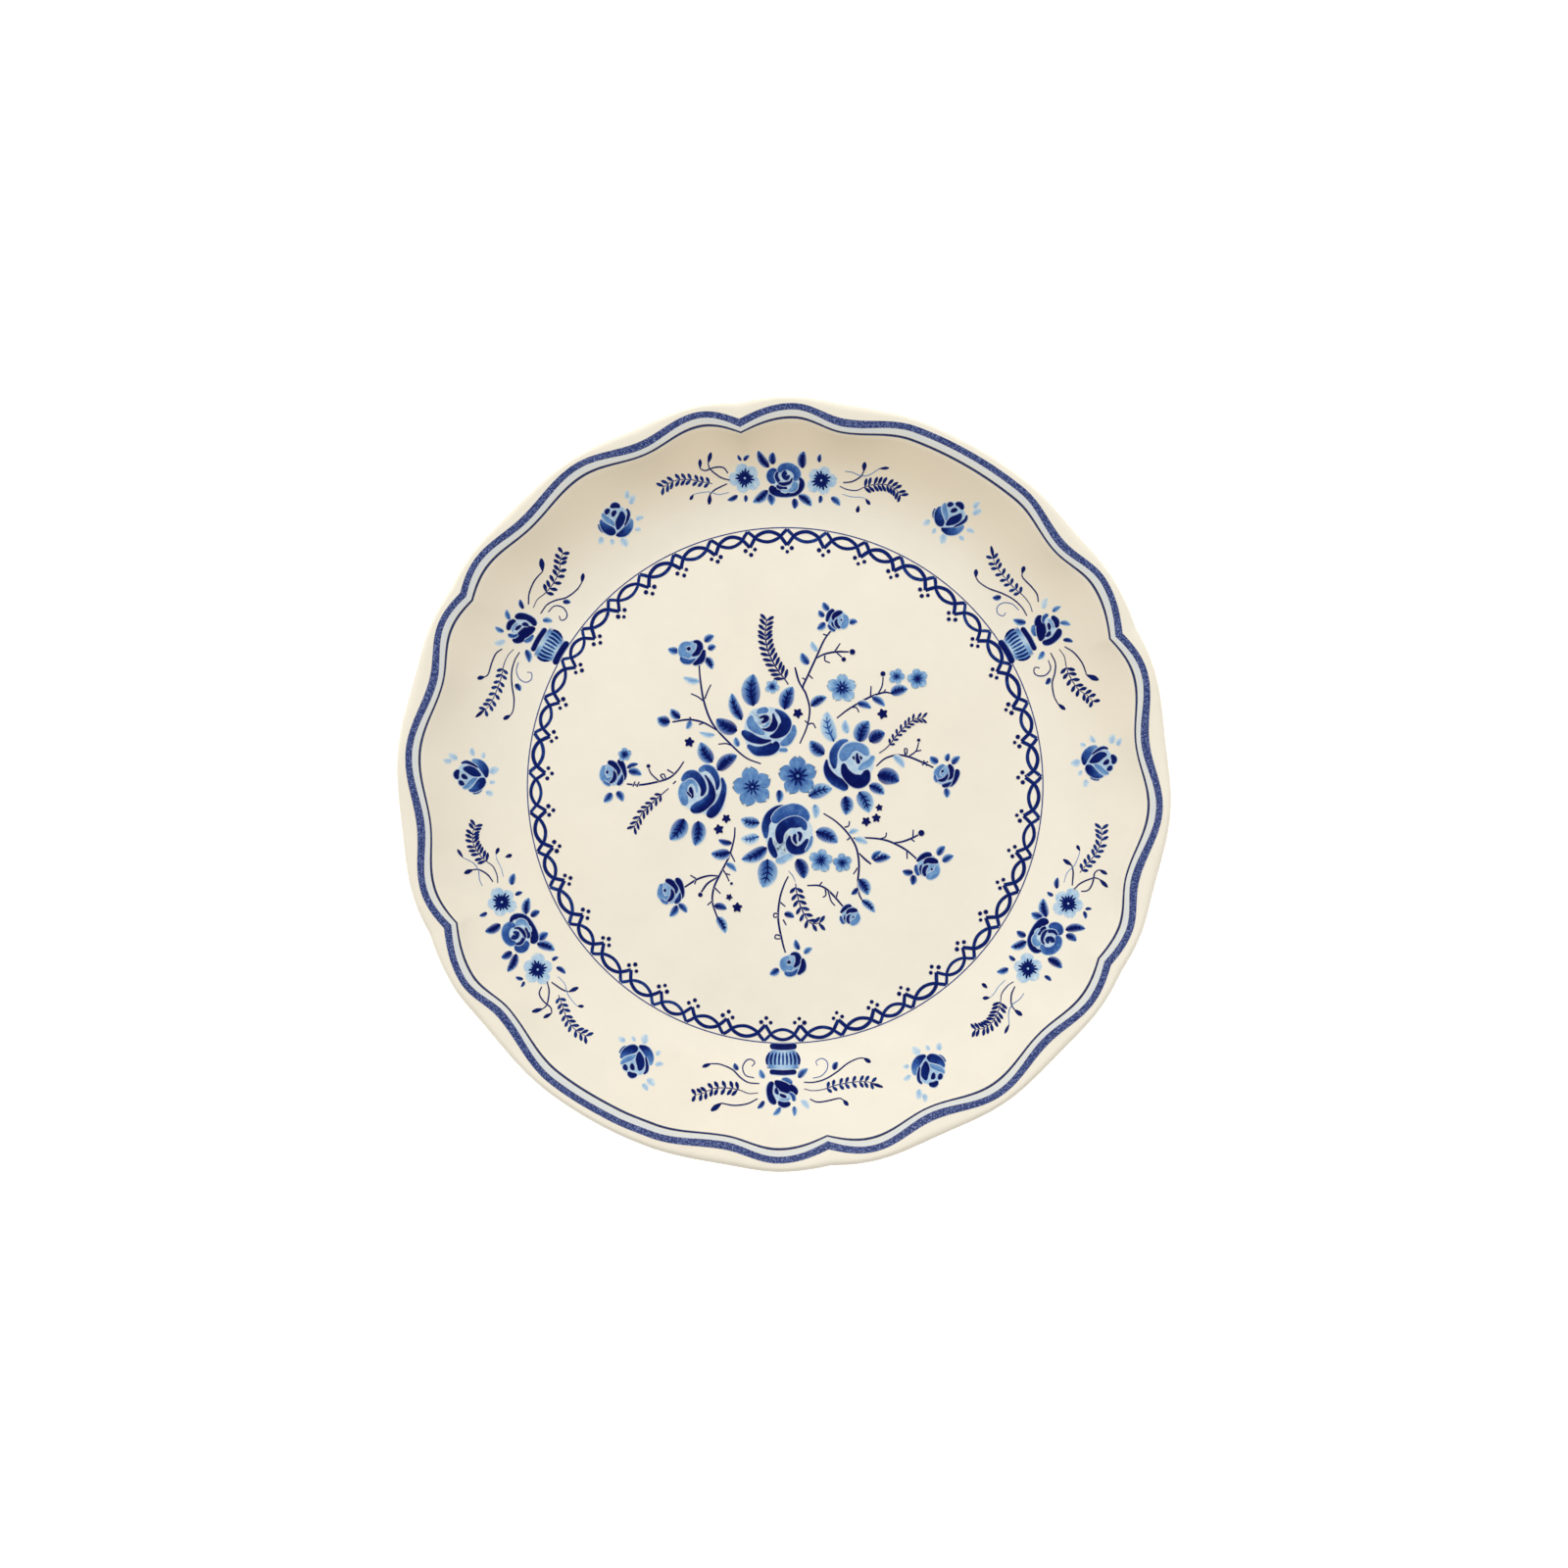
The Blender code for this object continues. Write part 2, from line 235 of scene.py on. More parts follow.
def turned(path):
    """Points, faces and round-plate radii of a profile turned round the axis and scalloped. Its
    ends may lie on the axis."""
    points, radii, rings, count, faces = [], [], [], 0, []
    for radius, height in path:
        turns = AROUND[: SEGMENTS if radius > 1e-6 else 1]
        out, up = bend(radius, turns, height)
        points.append(np.column_stack([at((0, 0), turns, out), up]))
        radii.append(np.full(len(turns), radius))
        rings.append(count + np.arange(len(turns)))
        count += len(turns)
    for a, b in zip(rings, rings[1:]):
        if len(a) == 1:
            sides = [np.repeat(a, SEGMENTS), b, np.roll(b, -1)]
        elif len(b) == 1:
            sides = [np.repeat(b, SEGMENTS), np.roll(a, -1), a]
        else:
            sides = [a, b, np.roll(b, -1), np.roll(a, -1)]
        faces += np.stack(sides, axis=1).tolist()
    return np.concatenate(points), faces, np.concatenate(radii)


def arc(centre, radius, start, end, steps):
    angles = np.radians(np.linspace(start, end, steps))
    return [(centre[0] + radius * math.cos(a), centre[1] + radius * math.sin(a)) for a in angles]


def front_path():
    """The front and the rounded edge, from the axis outwards."""
    radii = np.concatenate([
        [0, 2, 6, 12, 20, 30, 40, 50, 60, 68, 75, 80, 84],
        np.arange(86, 93, 0.8),
        np.arange(93, 118, 1.6),
        np.arange(118, 131.8, 0.55),
    ])
    half = LIP_THICKNESS / 2
    centre = EDGE_RADIUS - half
    middle = float(front_height(np.array(centre))) - half
    return [(r, float(front_height(np.array(r)))) for r in radii if r < centre - 0.2] + arc(
        (centre, middle), half, 90, -90, 13
    )


def under_path():
    """The underside from the edge in to the foot ring."""
    path = []
    for radius in np.concatenate([np.arange(130.5, 118, -1.5), np.arange(117, 88, -2.5)]):
        share = np.clip((radius - LIP_FROM + 3) / 6, 0, 1)
        thickness = WALL_THICKNESS + (LIP_THICKNESS - WALL_THICKNESS) * share
        path.append((radius, float(front_height(np.array(radius))) - thickness))
    foot_top = (FOOT_OUTER + FOOT_FLARE, BASE_HEIGHT - 0.1)
    return path + [(FOOT_OUTER + FOOT_FLARE + 0.7, BASE_HEIGHT + 0.02), foot_top]


def inset(path, distance):
    """The path moved towards its right-hand side. Points on the axis stay on it."""
    path = np.array(path, float)
    steps = np.diff(path, axis=0)
    normals = np.stack([steps[:, 1], -steps[:, 0]], axis=1)
    normals /= np.linalg.norm(normals, axis=1)[:, None]
    before = np.vstack([normals[:1], normals])
    after = np.vstack([normals, normals[-1:]])
    mean = (before + after) / 2
    moved = path + mean * distance / (mean**2).sum(axis=1)[:, None]
    moved[path[:, 0] < 1e-6, 0] = 0
    return moved.tolist()


def foot_side(outer, height):
    share = height / BASE_HEIGHT
    if outer:
        return (FOOT_OUTER + FOOT_FLARE * share, height)
    return (FOOT_INNER - FOOT_FLARE * share, height)


# ---------------------------------------------------------------- materials


def linear(colour):
    """Linear values of an sRGB colour given in 0 to 255."""
    values = [c / 255 for c in colour]
    return tuple(c / 12.92 if c <= 0.04045 else ((c + 0.055) / 1.055) ** 2.4 for c in values)


class Nodes:
    """A short way to write a node tree."""

    def __init__(self, name):
        self.material = bpy.data.materials.new(name)
        self.material.use_nodes = True
        self.tree = self.material.node_tree
        self.shader = self.tree.nodes["Principled BSDF"]

    def add(self, kind, inputs=(), **settings):
        node = self.tree.nodes.new(kind)
        for key, value in settings.items():
            setattr(node, key, value)
        for key, value in dict(inputs).items():
            self.feed(node.inputs[key], value)
        return node

    def feed(self, socket, value):
        if isinstance(value, bpy.types.NodeSocket):
            self.tree.links.new(value, socket)
        elif isinstance(value, tuple) and len(value) == 3 and socket.type == "RGBA":
            socket.default_value = (*value, 1)
        else:
            socket.default_value = value

    def set(self, **inputs):
        for key, value in inputs.items():
            self.feed(self.shader.inputs[key.replace("_", " ")], value)

    def place(self):
        return self.add("ShaderNodeTexCoord").outputs["Object"]

    def noise(self, scale, detail=3.0, roughness=0.55):
        return self.add(
            "ShaderNodeTexNoise",
            {"Vector": self.place(), "Scale": scale, "Detail": detail, "Roughness": roughness},
        ).outputs["Fac"]

    def ramp(self, value, stops):
        node = self.add("ShaderNodeValToRGB", {"Fac": value})
        elements = node.color_ramp.elements
        while len(elements) < len(stops):
            elements.new(0.5)
        for element, (at, colour) in zip(elements, stops):
            element.position = at
            element.color = (*colour, 1) if isinstance(colour, tuple) else (colour,) * 3 + (1,)
        return node.outputs["Color"]

    def mix(self, share, a, b, blend="MIX"):
        node = self.add("ShaderNodeMix", data_type="RGBA", blend_type=blend)
        for socket, value in zip((node.inputs[0], node.inputs[6], node.inputs[7]), (share, a, b)):
            self.feed(socket, value)
        return node.outputs[2]

    def maths(self, operation, a, b):
        node = self.add("ShaderNodeMath", operation=operation)
        self.feed(node.inputs[0], a)
        self.feed(node.inputs[1], b)
        return node.outputs[0]

    def attribute(self, name):
        return self.add("ShaderNodeAttribute", attribute_name=name).outputs["Fac"]

    def bump(self, height, strength, distance):
        return self.add(
            "ShaderNodeBump", {"Height": height, "Strength": strength, "Distance": distance}
        ).outputs["Normal"]


IVORY = linear((238, 231, 215))
IVORY_WARM = linear((236, 228, 210))
IVORY_PALE = linear((240, 235, 220))
IVORY_PAINTED_SHADE = linear((232, 217, 190))  # painted shade: a warmer, darker glaze colour on the side of the wall that faces away from the key light
RIM_WASH = linear((213, 217, 216))
INKS = (
    (0.0, linear((0, 10, 80))),
    (0.18, linear((6, 32, 103))),
    (0.4, linear((46, 84, 152))),
    (0.62, linear((100, 142, 190))),
    (0.82, linear((154, 187, 215))),
    (1.0, linear((204, 219, 226))),
)


def ivory(nodes):
    """The colour of the glaze, with a slow drift and faint clouds."""
    drift = nodes.ramp(nodes.noise(9, 2), ((0.35, IVORY_WARM), (0.65, IVORY_PALE)))
    clouds = nodes.ramp(nodes.noise(70, 4), ((0.3, 0.965), (0.7, 1.0)))
    body = nodes.mix(0.5, IVORY, drift)
    return nodes.mix(1.0, body, clouds, "MULTIPLY")


def glazed(nodes):
    """Adds the gloss of the glaze, which is the same over the print. Returns the material."""
    gloss = nodes.ramp(nodes.noise(45, 3), ((0.3, 0.09), (0.75, 0.16)))
    ripple = nodes.noise(120, 2)
    nodes.set(Roughness=gloss, Normal=nodes.bump(ripple, 0.06, 0.0006))
    nodes.shader.inputs["IOR"].default_value = 1.5
    return nodes.material


def glaze_material():
    nodes = Nodes("ivory_glaze")
    patches = nodes.ramp(nodes.noise(60), ((0.3, 0.7), (0.6, 1.0)))
    wash = nodes.maths("MULTIPLY", nodes.attribute("wash"), patches)
    # Painted shade: the glaze is mixed towards a warmer, darker ivory on the wall that faces away from the
    # key light.
    shaded = nodes.mix(nodes.attribute("painted_shade_warmth"), ivory(nodes), IVORY_PAINTED_SHADE)
    nodes.set(Base_Color=nodes.mix(wash, shaded, RIM_WASH))
    return glazed(nodes)


def base_material():
    nodes = Nodes("base_glaze")
    specks = nodes.ramp(nodes.noise(900, 2), ((0.7, 1.0), (0.78, 0.72)))
    nodes.set(Base_Color=nodes.mix(1.0, ivory(nodes), specks, "MULTIPLY"))
    return glazed(nodes)


def clay_material():
    nodes = Nodes("bisque_clay")
    grain = nodes.noise(1400, 4, 0.7)
    tone = nodes.ramp(grain, ((0.3, linear((196, 178, 146))), (0.7, linear((226, 212, 184)))))
    stain = nodes.ramp(nodes.noise(60, 3), ((0.35, 0.86), (0.7, 1.0)))
    nodes.set(Base_Color=nodes.mix(1.0, tone, stain, "MULTIPLY"), Roughness=0.85)
    nodes.set(Normal=nodes.bump(grain, 0.5, 0.0003))
    return nodes.material


def print_material():
    """Cobalt that pooled unevenly under the glaze: tone sets its strength, cover its edge."""
    nodes = Nodes("cobalt_print")
    pooled = nodes.maths("MULTIPLY", nodes.maths("SUBTRACT", nodes.noise(420, 3, 0.6), 0.53), 0.36)
    streaks = nodes.maths("MULTIPLY", nodes.maths("SUBTRACT", nodes.noise(1500, 2), 0.5), 0.16)
    tone = nodes.maths("ADD", nodes.attribute("tone"), nodes.maths("ADD", pooled, streaks))
    ink = nodes.ramp(tone, INKS)
    nodes.set(Base_Color=nodes.mix(nodes.attribute("cover"), ivory(nodes), ink))
    return glazed(nodes)


def band_material(name, base, dark, light):
    """The darker, speckled blue of the edge."""
    nodes = Nodes(name)
    cloud = nodes.mix(nodes.noise(90, 3), dark, base)
    speckle = nodes.ramp(nodes.noise(1900, 2, 0.6), ((0.5, 0.0), (0.62, 1.0)))
    cover, glaze = nodes.attribute("cover"), ivory(nodes)
    blue = nodes.mix(speckle, nodes.mix(0.5, cloud, base), light)
    nodes.set(Base_Color=nodes.mix(cover, glaze, blue))
    return glazed(nodes)


# ---------------------------------------------------------------- drawing the print

PRINT_LIFT = 0.03
LAYER_LIFT = 0.01
CORE = 1.4  # how many layers the core of a stroke lies above its soft edge
PATCH_LIFT = 0.0002  # keeps two patches of one layer from sharing a plane
FEATHER = 0.2  # how wide the soft edge of a line is
HALO = 0.42  # the same of a leaf
BLEED = 0.42  # the same of a petal
FADED = np.array([0.0, 1.0, 1.0, 0.0])  # cover from one soft edge of a line to the other


def smooth_curve(points, step):
    """A smooth curve through these points, sampled about every step."""
    points = np.array(points, float)
    if len(points) == 2:
        middle = points.mean(axis=0)
        points = np.array([points[0], middle, points[1]])
    padded = np.vstack([2 * points[0] - points[1], points, 2 * points[-1] - points[-2]])
    pieces = []
    for i in range(len(points) - 1):
        a, b, c, d = padded[i : i + 4]
        count = max(2, math.ceil(np.linalg.norm(c - b) / step))
        t = (np.arange(count) / count)[:, None]
        square, cube = 2 * a - 5 * b + 4 * c - d, 3 * b - a - 3 * c + d
        pieces.append(0.5 * (2 * b + (c - a) * t + square * t**2 + cube * t**3))
    return np.vstack([*pieces, points[-1:]])


def unit(vector):
    vector = np.asarray(vector, float)
    return vector / np.maximum(np.linalg.norm(vector, axis=-1, keepdims=True), 1e-9)


def sideways(curve):
    """Unit vectors to the left of a curve."""
    ahead = unit(np.gradient(curve, axis=0))
    return np.stack([-ahead[:, 1], ahead[:, 0]], axis=1)


def at(centre, degrees, distance):
    """The point at this angle and distance from the centre."""
    turn = np.radians(degrees)
    return np.stack([centre[0] + distance * np.cos(turn), centre[1] + distance * np.sin(turn)], axis=-1)


class Print:
    """Gathers the painted patches of one printed sheet."""

    def __init__(self):
        self.points, self.tones, self.covers, self.lifts, self.faces = [], [], [], [], []
        self.count = 0

    def patch(self, grid, tone, cover, level, loop=False):
        """A patch from a grid of points. A loop joins its last row to its first."""
        rows, columns = grid.shape[:2]
        index = self.count + np.arange(rows * columns).reshape(rows, columns)
        if loop:
            index = np.vstack([index, index[:1]])
        quads = np.stack([index[:-1, :-1], index[1:, :-1], index[1:, 1:], index[:-1, 1:]], axis=-1)
        flat = grid.reshape(-1, 2)
        quads = quads.reshape(-1, 4)
        corners = flat[quads - self.count]
        across, back = corners[:, 2] - corners[:, 0], corners[:, 3] - corners[:, 1]
        area = (across[:, 0] * back[:, 1] - across[:, 1] * back[:, 0]).sum()
        self.faces.append(quads if area > 0 else quads[:, ::-1])
        self.points.append(flat)
        self.tones.append(np.broadcast_to(tone, (rows, columns)).ravel())
        self.covers.append(np.broadcast_to(cover, (rows, columns)).ravel())
        lift = PRINT_LIFT + LAYER_LIFT * level + PATCH_LIFT * len(self.lifts)
        self.lifts.append(np.full(rows * columns, lift))
        self.count += rows * columns

    def ribbon(self, curve, half, tone, level, edge=None):
        """A line of this half width along close points. It fades to bare glaze under a solid core,
        or has an edge of another tone."""
        half = np.broadcast_to(half, len(curve))
        soft = np.minimum(FEATHER / 2, half * 0.5)
        offsets = np.stack([-half - soft, -half + soft, half - soft, half + soft], axis=1)
        grid = curve[:, None] + sideways(curve)[:, None] * offsets[:, :, None]
        if edge is None:
            self.patch(grid, tone, FADED, level)
            self.patch(grid[:, 1:3], tone, 1.0, level + CORE)
        else:
            self.patch(grid, np.array([edge, tone, tone, edge]), 1.0, level)

    def stroke(self, points, width, tone=0.1, level=1, profile=(0.6, 1, 1, 0.5), edge=None):
        """A brush stroke, whose profile scales its width along its length."""
        curve = smooth_curve(points, max(0.35, min(0.9, width)))
        along = np.linspace(0, 1, len(curve))
        half = np.interp(along, np.linspace(0, 1, len(profile)), profile) * width / 2
        self.ribbon(curve, half, tone, level, edge)

    def drop(self, base, tip, width, tone=0.1, level=1):
        """A small teardrop with its point at the base."""
        self.stroke([base, tip], width, tone, level, (0.25, 0.7, 1.0, 0.95, 0.35))

    def blob(self, centre, radius, tone, level=1, edge=None, lobes=0, depth=0.0, turn=0.0, bleed=None):
        """A disc, or a small flower with round lobes. It fades to bare glaze, or to the tone bleed."""
        count = 8 * (lobes or 2)
        angles = np.arange(count) * 360 / count
        reach = radius * (1 - depth / 2 + depth / 2 * np.cos(np.radians(lobes * (angles - turn))))
        inner = np.maximum(reach - FEATHER, reach * 0.6)
        shares = np.stack([reach * 0.02, reach * 0.45, inner, reach + FEATHER * 0.4], axis=1)
        grid = at(centre, angles[:, None], shares)
        outer = tone if edge is None else edge
        last, cover = (outer, 0.0) if bleed is None else (bleed, 1.0)
        self.patch(grid, np.array([tone, tone, outer, last]), np.array([1, 1, 1, cover]), level, loop=True)

    def leaf(self, base, tip, width, look):
        """A pointed leaf: dark along its middle and base, lighter to its edge and tip."""
        base, tip = np.array(base, float), np.array(tip, float)
        inner, outer, vein = LEAF_LOOKS[look]
        length = np.linalg.norm(tip - base)
        left = np.array([-(tip - base)[1], (tip - base)[0]]) / length
        spine = smooth_curve([base, (base + tip) / 2 + left * LEAF_CURL * length, tip], length / 14)
        side = sideways(spine)
        t = np.linspace(0, 1, len(spine))
        half = width / 2 * np.maximum(t, 1e-4) ** 0.6 * (1 - t) ** 0.75 / 0.3956  # widest at t = 0.44
        v = np.array([-1.0, -1.0, -0.5, 0.0, 0.5, 1.0, 1.0])
        halo = np.array([-HALO, 0, 0, 0, 0, 0, HALO]) * min(1.0, width / 3)
        t, half_column = t[:, None], half[:, None]
        reach = half_column * v + halo * np.minimum(1, half_column / 0.6)
        grid = spine[:, None] + side[:, None] * reach[:, :, None]
        shade = 0.55 * np.abs(v) ** 1.5 + 0.6 * t**2 + 0.22 * (v > 0.1)
        shade = inner + (outer - inner) * shade
        shade[:, [0, -1]] += 0.2
        self.patch(grid, np.clip(shade, 0, 1), np.array([0.0, 0.85, 1, 1, 1, 0.85, 0.0]), 1)
        if width >= VEINED:
            stop = int(len(spine) * 0.86)
            self.stroke(spine[:stop], 0.46, vein, 2, (1, 0.9, 0.5), edge=vein)
            for share in VEIN_PLACES:
                i = int(len(spine) * share)
                ahead = unit(spine[i + 1] - spine[i])
                for way in (1, -1):
                    end = spine[i] + ahead * length * 0.13 + way * side[i] * half[i] * 0.62
                    self.stroke([spine[i], end], 0.4, vein, 2, (1, 0.8, 0.3), edge=vein)

    def brush(self, rows, tones, level):
        """A petal painted as one fat stroke through (x, y, width) rows, with round ends. Its tones
        are those of its left and right side, at its start and, if they differ, at its end."""
        curve = smooth_curve(rows, 0.45)
        spots = curve[:, :2]
        half = np.maximum(curve[:, 2], 0.2) / 2
        run = np.append(0, np.cumsum(np.linalg.norm(np.diff(spots, axis=0), axis=1)))
        for gap, cap in ((run, half[0]), (run[-1] - run, half[-1])):
            half = half * np.sqrt(1 - (1 - np.clip(gap / cap, 0.04, 1)) ** 2)
        soft = np.minimum(BLEED / 2, half * 0.45)
        way = np.array([-1.0, -1.0, -0.4, 0.4, 1.0, 1.0])
        reach = half[:, None] * way + soft[:, None] * np.array([-1.0, 1.0, 0, 0, -1.0, 1.0])
        grid = spots[:, None] + sideways(spots)[:, None] * reach[:, :, None]
        left, right, left_end, right_end = [*tones, *tones][:4]
        along = (run / run[-1])[:, None]
        side = (way + 1) / 2
        start = right + (left - right) * side
        end = right_end + (left_end - right_end) * side
        shade = start + (end - start) * along
        shade[:, [0, -1]] = 0.92
        self.patch(grid, np.clip(shade, 0, 1), np.array([0.6, 1, 1, 1, 1, 0.6]), level)

    def flower(self, centre, turn, scale, ground, strokes, level=3, weight=1.1, pale=0.9):
        """A rose: a pale ground of (x, y, radius) discs, and its petals as strokes on it."""
        c, s = scale * math.cos(math.radians(turn)), scale * math.sin(math.radians(turn))
        spin = np.array([[c, s], [-s, c]])
        for x, y, radius in ground:
            spot = centre + np.array([x, y]) @ spin
            self.blob(spot, radius * scale, pale, level - 1, edge=pale + 0.05, lobes=5, depth=0.06)
        for i, (tones, *petal) in enumerate(strokes):
            petal = np.array(petal)
            spots = centre + petal[:, :2] @ spin
            self.brush(np.column_stack([spots, petal[:, 2] * scale * weight]), tones, level + 0.3 * i)

    def blossom(self, centre, radius, tones, heart, level, turn):
        """Five broad petals round a dark heart with short rays."""
        along = np.array([0.15, 0.3, 0.45, 0.6, 0.74, 0.86, 0.95, 1.0, 1.05])
        across = np.array([-1.0, -0.88, -0.4, 0, 0.4, 0.88, 1.0])
        rounding = np.sqrt(np.clip(1 - (np.clip(along - 0.7, 0, 1) / 0.36) ** 2, 0.03, 1))
        spread = 38.5 * np.minimum(along / 0.5, 1) ** 0.1 * rounding
        column = along[:, None]
        edges = np.abs(across) > 0.95
        covers = np.where(edges, np.where(column > 0.75, 0.3, 1.0), 1.0) * (column <= 1.01)
        shade = tones[0] + (tones[1] - tones[0]) * np.clip((column - 0.3) / 0.5, 0, 1)
        shade = shade + 0.1 * np.cos(3 * np.pi * across) * (1 - column) + 0.18 * edges
        ruffle = 1 - 0.05 * np.cos(2 * np.pi * across) * (column > 0.6)
        for i in range(5):
            middle = turn + 72 * i + 4 * math.sin(7 * i)
            size = radius * (1 + 0.05 * math.sin(3 * i + radius))
            grid = at(centre, middle + spread[:, None] * across, size * column * ruffle)
            self.patch(grid, np.clip(shade, 0, 1), covers, level)
        for i in range(10):
            reach = heart * (1.25 + 0.5 * abs(math.sin(2.1 * i + radius)))
            tip = at(centre, turn + 36 * i + 18, reach)
            self.stroke([centre, tip], 0.35 * heart, 0.12, level + 1, (1.4, 1.1, 0.3), edge=tones[0] * 0.6)
        self.blob(centre, heart * 0.85, 0.0, level + 2, 0.04, 5, 0.2, turn, bleed=tones[0])
        if heart > 1.3:
            self.blob(centre, heart * 0.22, 0.62, level + 3, bleed=0.3)

    def spot(self, point):
        """Where a point of a table lies in the drawing."""
        return point

    def leaves(self, table):
        """Leaves of a text table: look, base, tip and width."""
        for row in table.split(";"):
            look, *numbers = row.split()
            x, y, tip_x, tip_y, width = map(float, numbers)
            self.leaf(self.spot((x, y)), self.spot((tip_x, tip_y)), width, look)

    def ferns(self, table):
        """Stems with pairs of small pointed leaflets. A row starts with the number of pairs, their
        first and last size, tone, angle and width, where they start, and the stem's width."""
        for (count, first, last, tone, angle, width, start, stem), *points in table:
            points = [self.spot(p) for p in points]
            curve = smooth_curve(points, 0.5)
            self.stroke(points, stem, tone, 1, (0.8, 1, 0.6))
            side = sideways(curve)
            lean = math.radians(angle)
            for i in range(int(count)):
                share = start + (0.99 - start) * i / (count - 1)
                size = first + (last - first) * i / (count - 1)
                k = min(len(curve) - 2, int(share * (len(curve) - 1)))
                ahead = unit(curve[k + 1] - curve[k])
                for way in (1, -1):
                    root = curve[k] + ahead * (0.25 * (way > 0))
                    reach = ahead * math.cos(lean) + way * side[k] * math.sin(lean)
                    self.drop(root, root + reach * size, width, tone)

    def piece(self, name, node):
        flat = np.concatenate(self.points)
        points = laid(flat[:, 0], flat[:, 1], np.concatenate(self.lifts))
        faces = np.concatenate(self.faces).tolist()
        attributes = (("tone", np.concatenate(self.tones)), ("cover", np.concatenate(self.covers)))
        make_piece(name, points, faces, COBALT, node, attributes)


VEINED = 2.6  # the narrowest leaf with veins
VEIN_PLACES = (0.24, 0.42, 0.6)
LEAF_CURL = 0.08  # how far a leaf's middle lies to the left, as a share of its length

# Tone of a leaf's middle, of its edge, and of its veins: 0 is the darkest blue and 1 the palest.
LEAF_LOOKS = {
    "dark": (0.06, 0.5, 0.0),
    "mid": (0.14, 0.7, 0.0),
    "light": (0.36, 0.78, 0.06),
    "pale": (0.68, 0.94, 0.4),
    "faint": (0.84, 1.0, 0.66),
}


def read_table(table):
    """A table's rows, parted by semicolons, as groups of numbers, which are parted by commas."""
    return [[[float(n) for n in group.split()] for group in row.split(",")] for row in table.split(";")]


# ---------------------------------------------------------------- the bouquet in the well

# Roses. A row is a petal: the tones of its left and right side (and those at its end), then the
# points of its stroke as x, y and width.
ROSE_TOP = read_table("""
.5 .55, -9.5 24.6 1.2, -7.7 25.4 2, -5.4 25.6 2;
.62 .55, -11.3 23.8 1.2, -11.5 21.4 2.9, -10.4 19.7 3, -8.4 18.2 2.2, -6.6 17.3 1;
.4 .16 0 0, -14.6 18.4 1.5, -12.3 16.6 2.9, -9.9 15.4 2.6, -7.2 14.8 1.8, -4.3 15.1 .6;
.4 .3 .04 .12, -12.8 13.5 1, -9.9 11.6 2.8, -7.5 11.4 3.2, -4.8 12 3.7, -3 13.3 3.2, -2.7 14.9 .8;
.4 .2 0 0, -3.2 25.9 .7, -.9 24.3 2, .5 22.2 3.1, .6 20.5 3.7, -.6 18.5 3.7, -2.8 16.9 2.3, -5 16.4 .7;
.06 0, -3.8 24.6 .5, -3.4 22.4 1.4, -3.3 20.9 2.3, -4.1 19.4 2.3, -5.7 18.9 1.4, -7.6 19.1 .6;
.62 .66, -5 21.6 .9, -6.4 20.1 1, -7.6 19.9 .5;
.5 .56, 3.4 20.6 .8, 3.3 18.2 2, 2.3 16.3 2.4, .9 14.7 2.6, -1.3 13.7 1.4;
.55 .5, -1.8 11.8 1.2, 1.3 11.8 1.3;
.02 0, -8.6 22.9 .7, -6.9 23.4 1.1, -5.8 22.9 1.5, -6.6 21.9 1.4, -7.9 21.2 .7
""")
ROSE_RIGHT = read_table("""
.4 .55 .3 .1, 22.3 15.2 .7, 20.1 14.6 1.7, 18.3 12.9 2.3, 17.2 10.5 2.6, 17.2 8 2.5, 17.6 5.2 1.1;
0 .1 0 .4, 14.8 8.6 .5, 14.7 5.8 1.9, 15.6 3.4 2.8, 17.4 1.4 3.3, 19.6 0 3.3, 22 -1.9 2.2;
0 0 .1 .02, 20.5 7.2 1.3, 21.3 4.1 2.9, 23.3 1.8 3.8, 25.7 .9 4.5, 27.9 1.9 3.8, 29 5 1.6;
.58 .5 .62 .6, 20.1 7.9 2, 21 10.2 3.6, 22.8 12.4 3.3, 25.2 13 2.7, 27.7 11.9 2.8, 29.1 9.8 1.6;
.68 .6, 31.2 9.8 1.2, 29.6 7.5 2.1, 27.7 6.2 2.3, 25.8 5 1.2;
.02 0, 23.6 9.2 .9, 25.4 8.9 1.5, 27.2 9.1 1.2;
0 .02, 25.3 10.8 .7, 25.4 8.8 1.2, 26 7 1.5
""")
ROSE_LEFT = read_table("""
.55 .6 .68 .66, -34 -7.5 2, -34.8 -4.7 2.9, -35 -2.3 2.9, -34.1 0 2.3, -31.9 .9 1.5, -30.5 -.6 1.2,
-30.1 -3.2 .7;
.45 .4 .04 0, -35.4 .9 1.2, -33.6 3 2.3, -31.4 3.4 2.6, -29.5 1.9 2.5, -28.2 -.3 2.3, -27.9 -2.3 1.8,
-28.7 -4.3 .8;
0 .05 0 .5, -27.5 3.2 .6, -26 .9 1.1, -25.1 -1.8 2, -25.3 -4.5 3, -27.3 -6.7 3.5, -29.7 -8.1 3.7,
-32.5 -9.1 2.2;
.5 .55 .2 .08, -29.5 4.4 1.4, -27.3 5.6 2.1, -25.1 4.8 2.3, -23.6 2.6 2, -23 .2 1.6, -23.3 -2.2 .7;
.35 .2 0 .3, -21.6 2.3 .8, -20.8 -.8 1.6, -21.3 -4 2.1, -22.6 -7.2 2.6, -24.6 -9.6 3.3, -26.7 -11.2 2.3;
0 0, -32.5 -.9 .8, -32.2 -2.6 1.5, -31.7 -5 .9;
.04 .04, -33.7 -2.7 .8, -32.2 -4.4 .7
""")
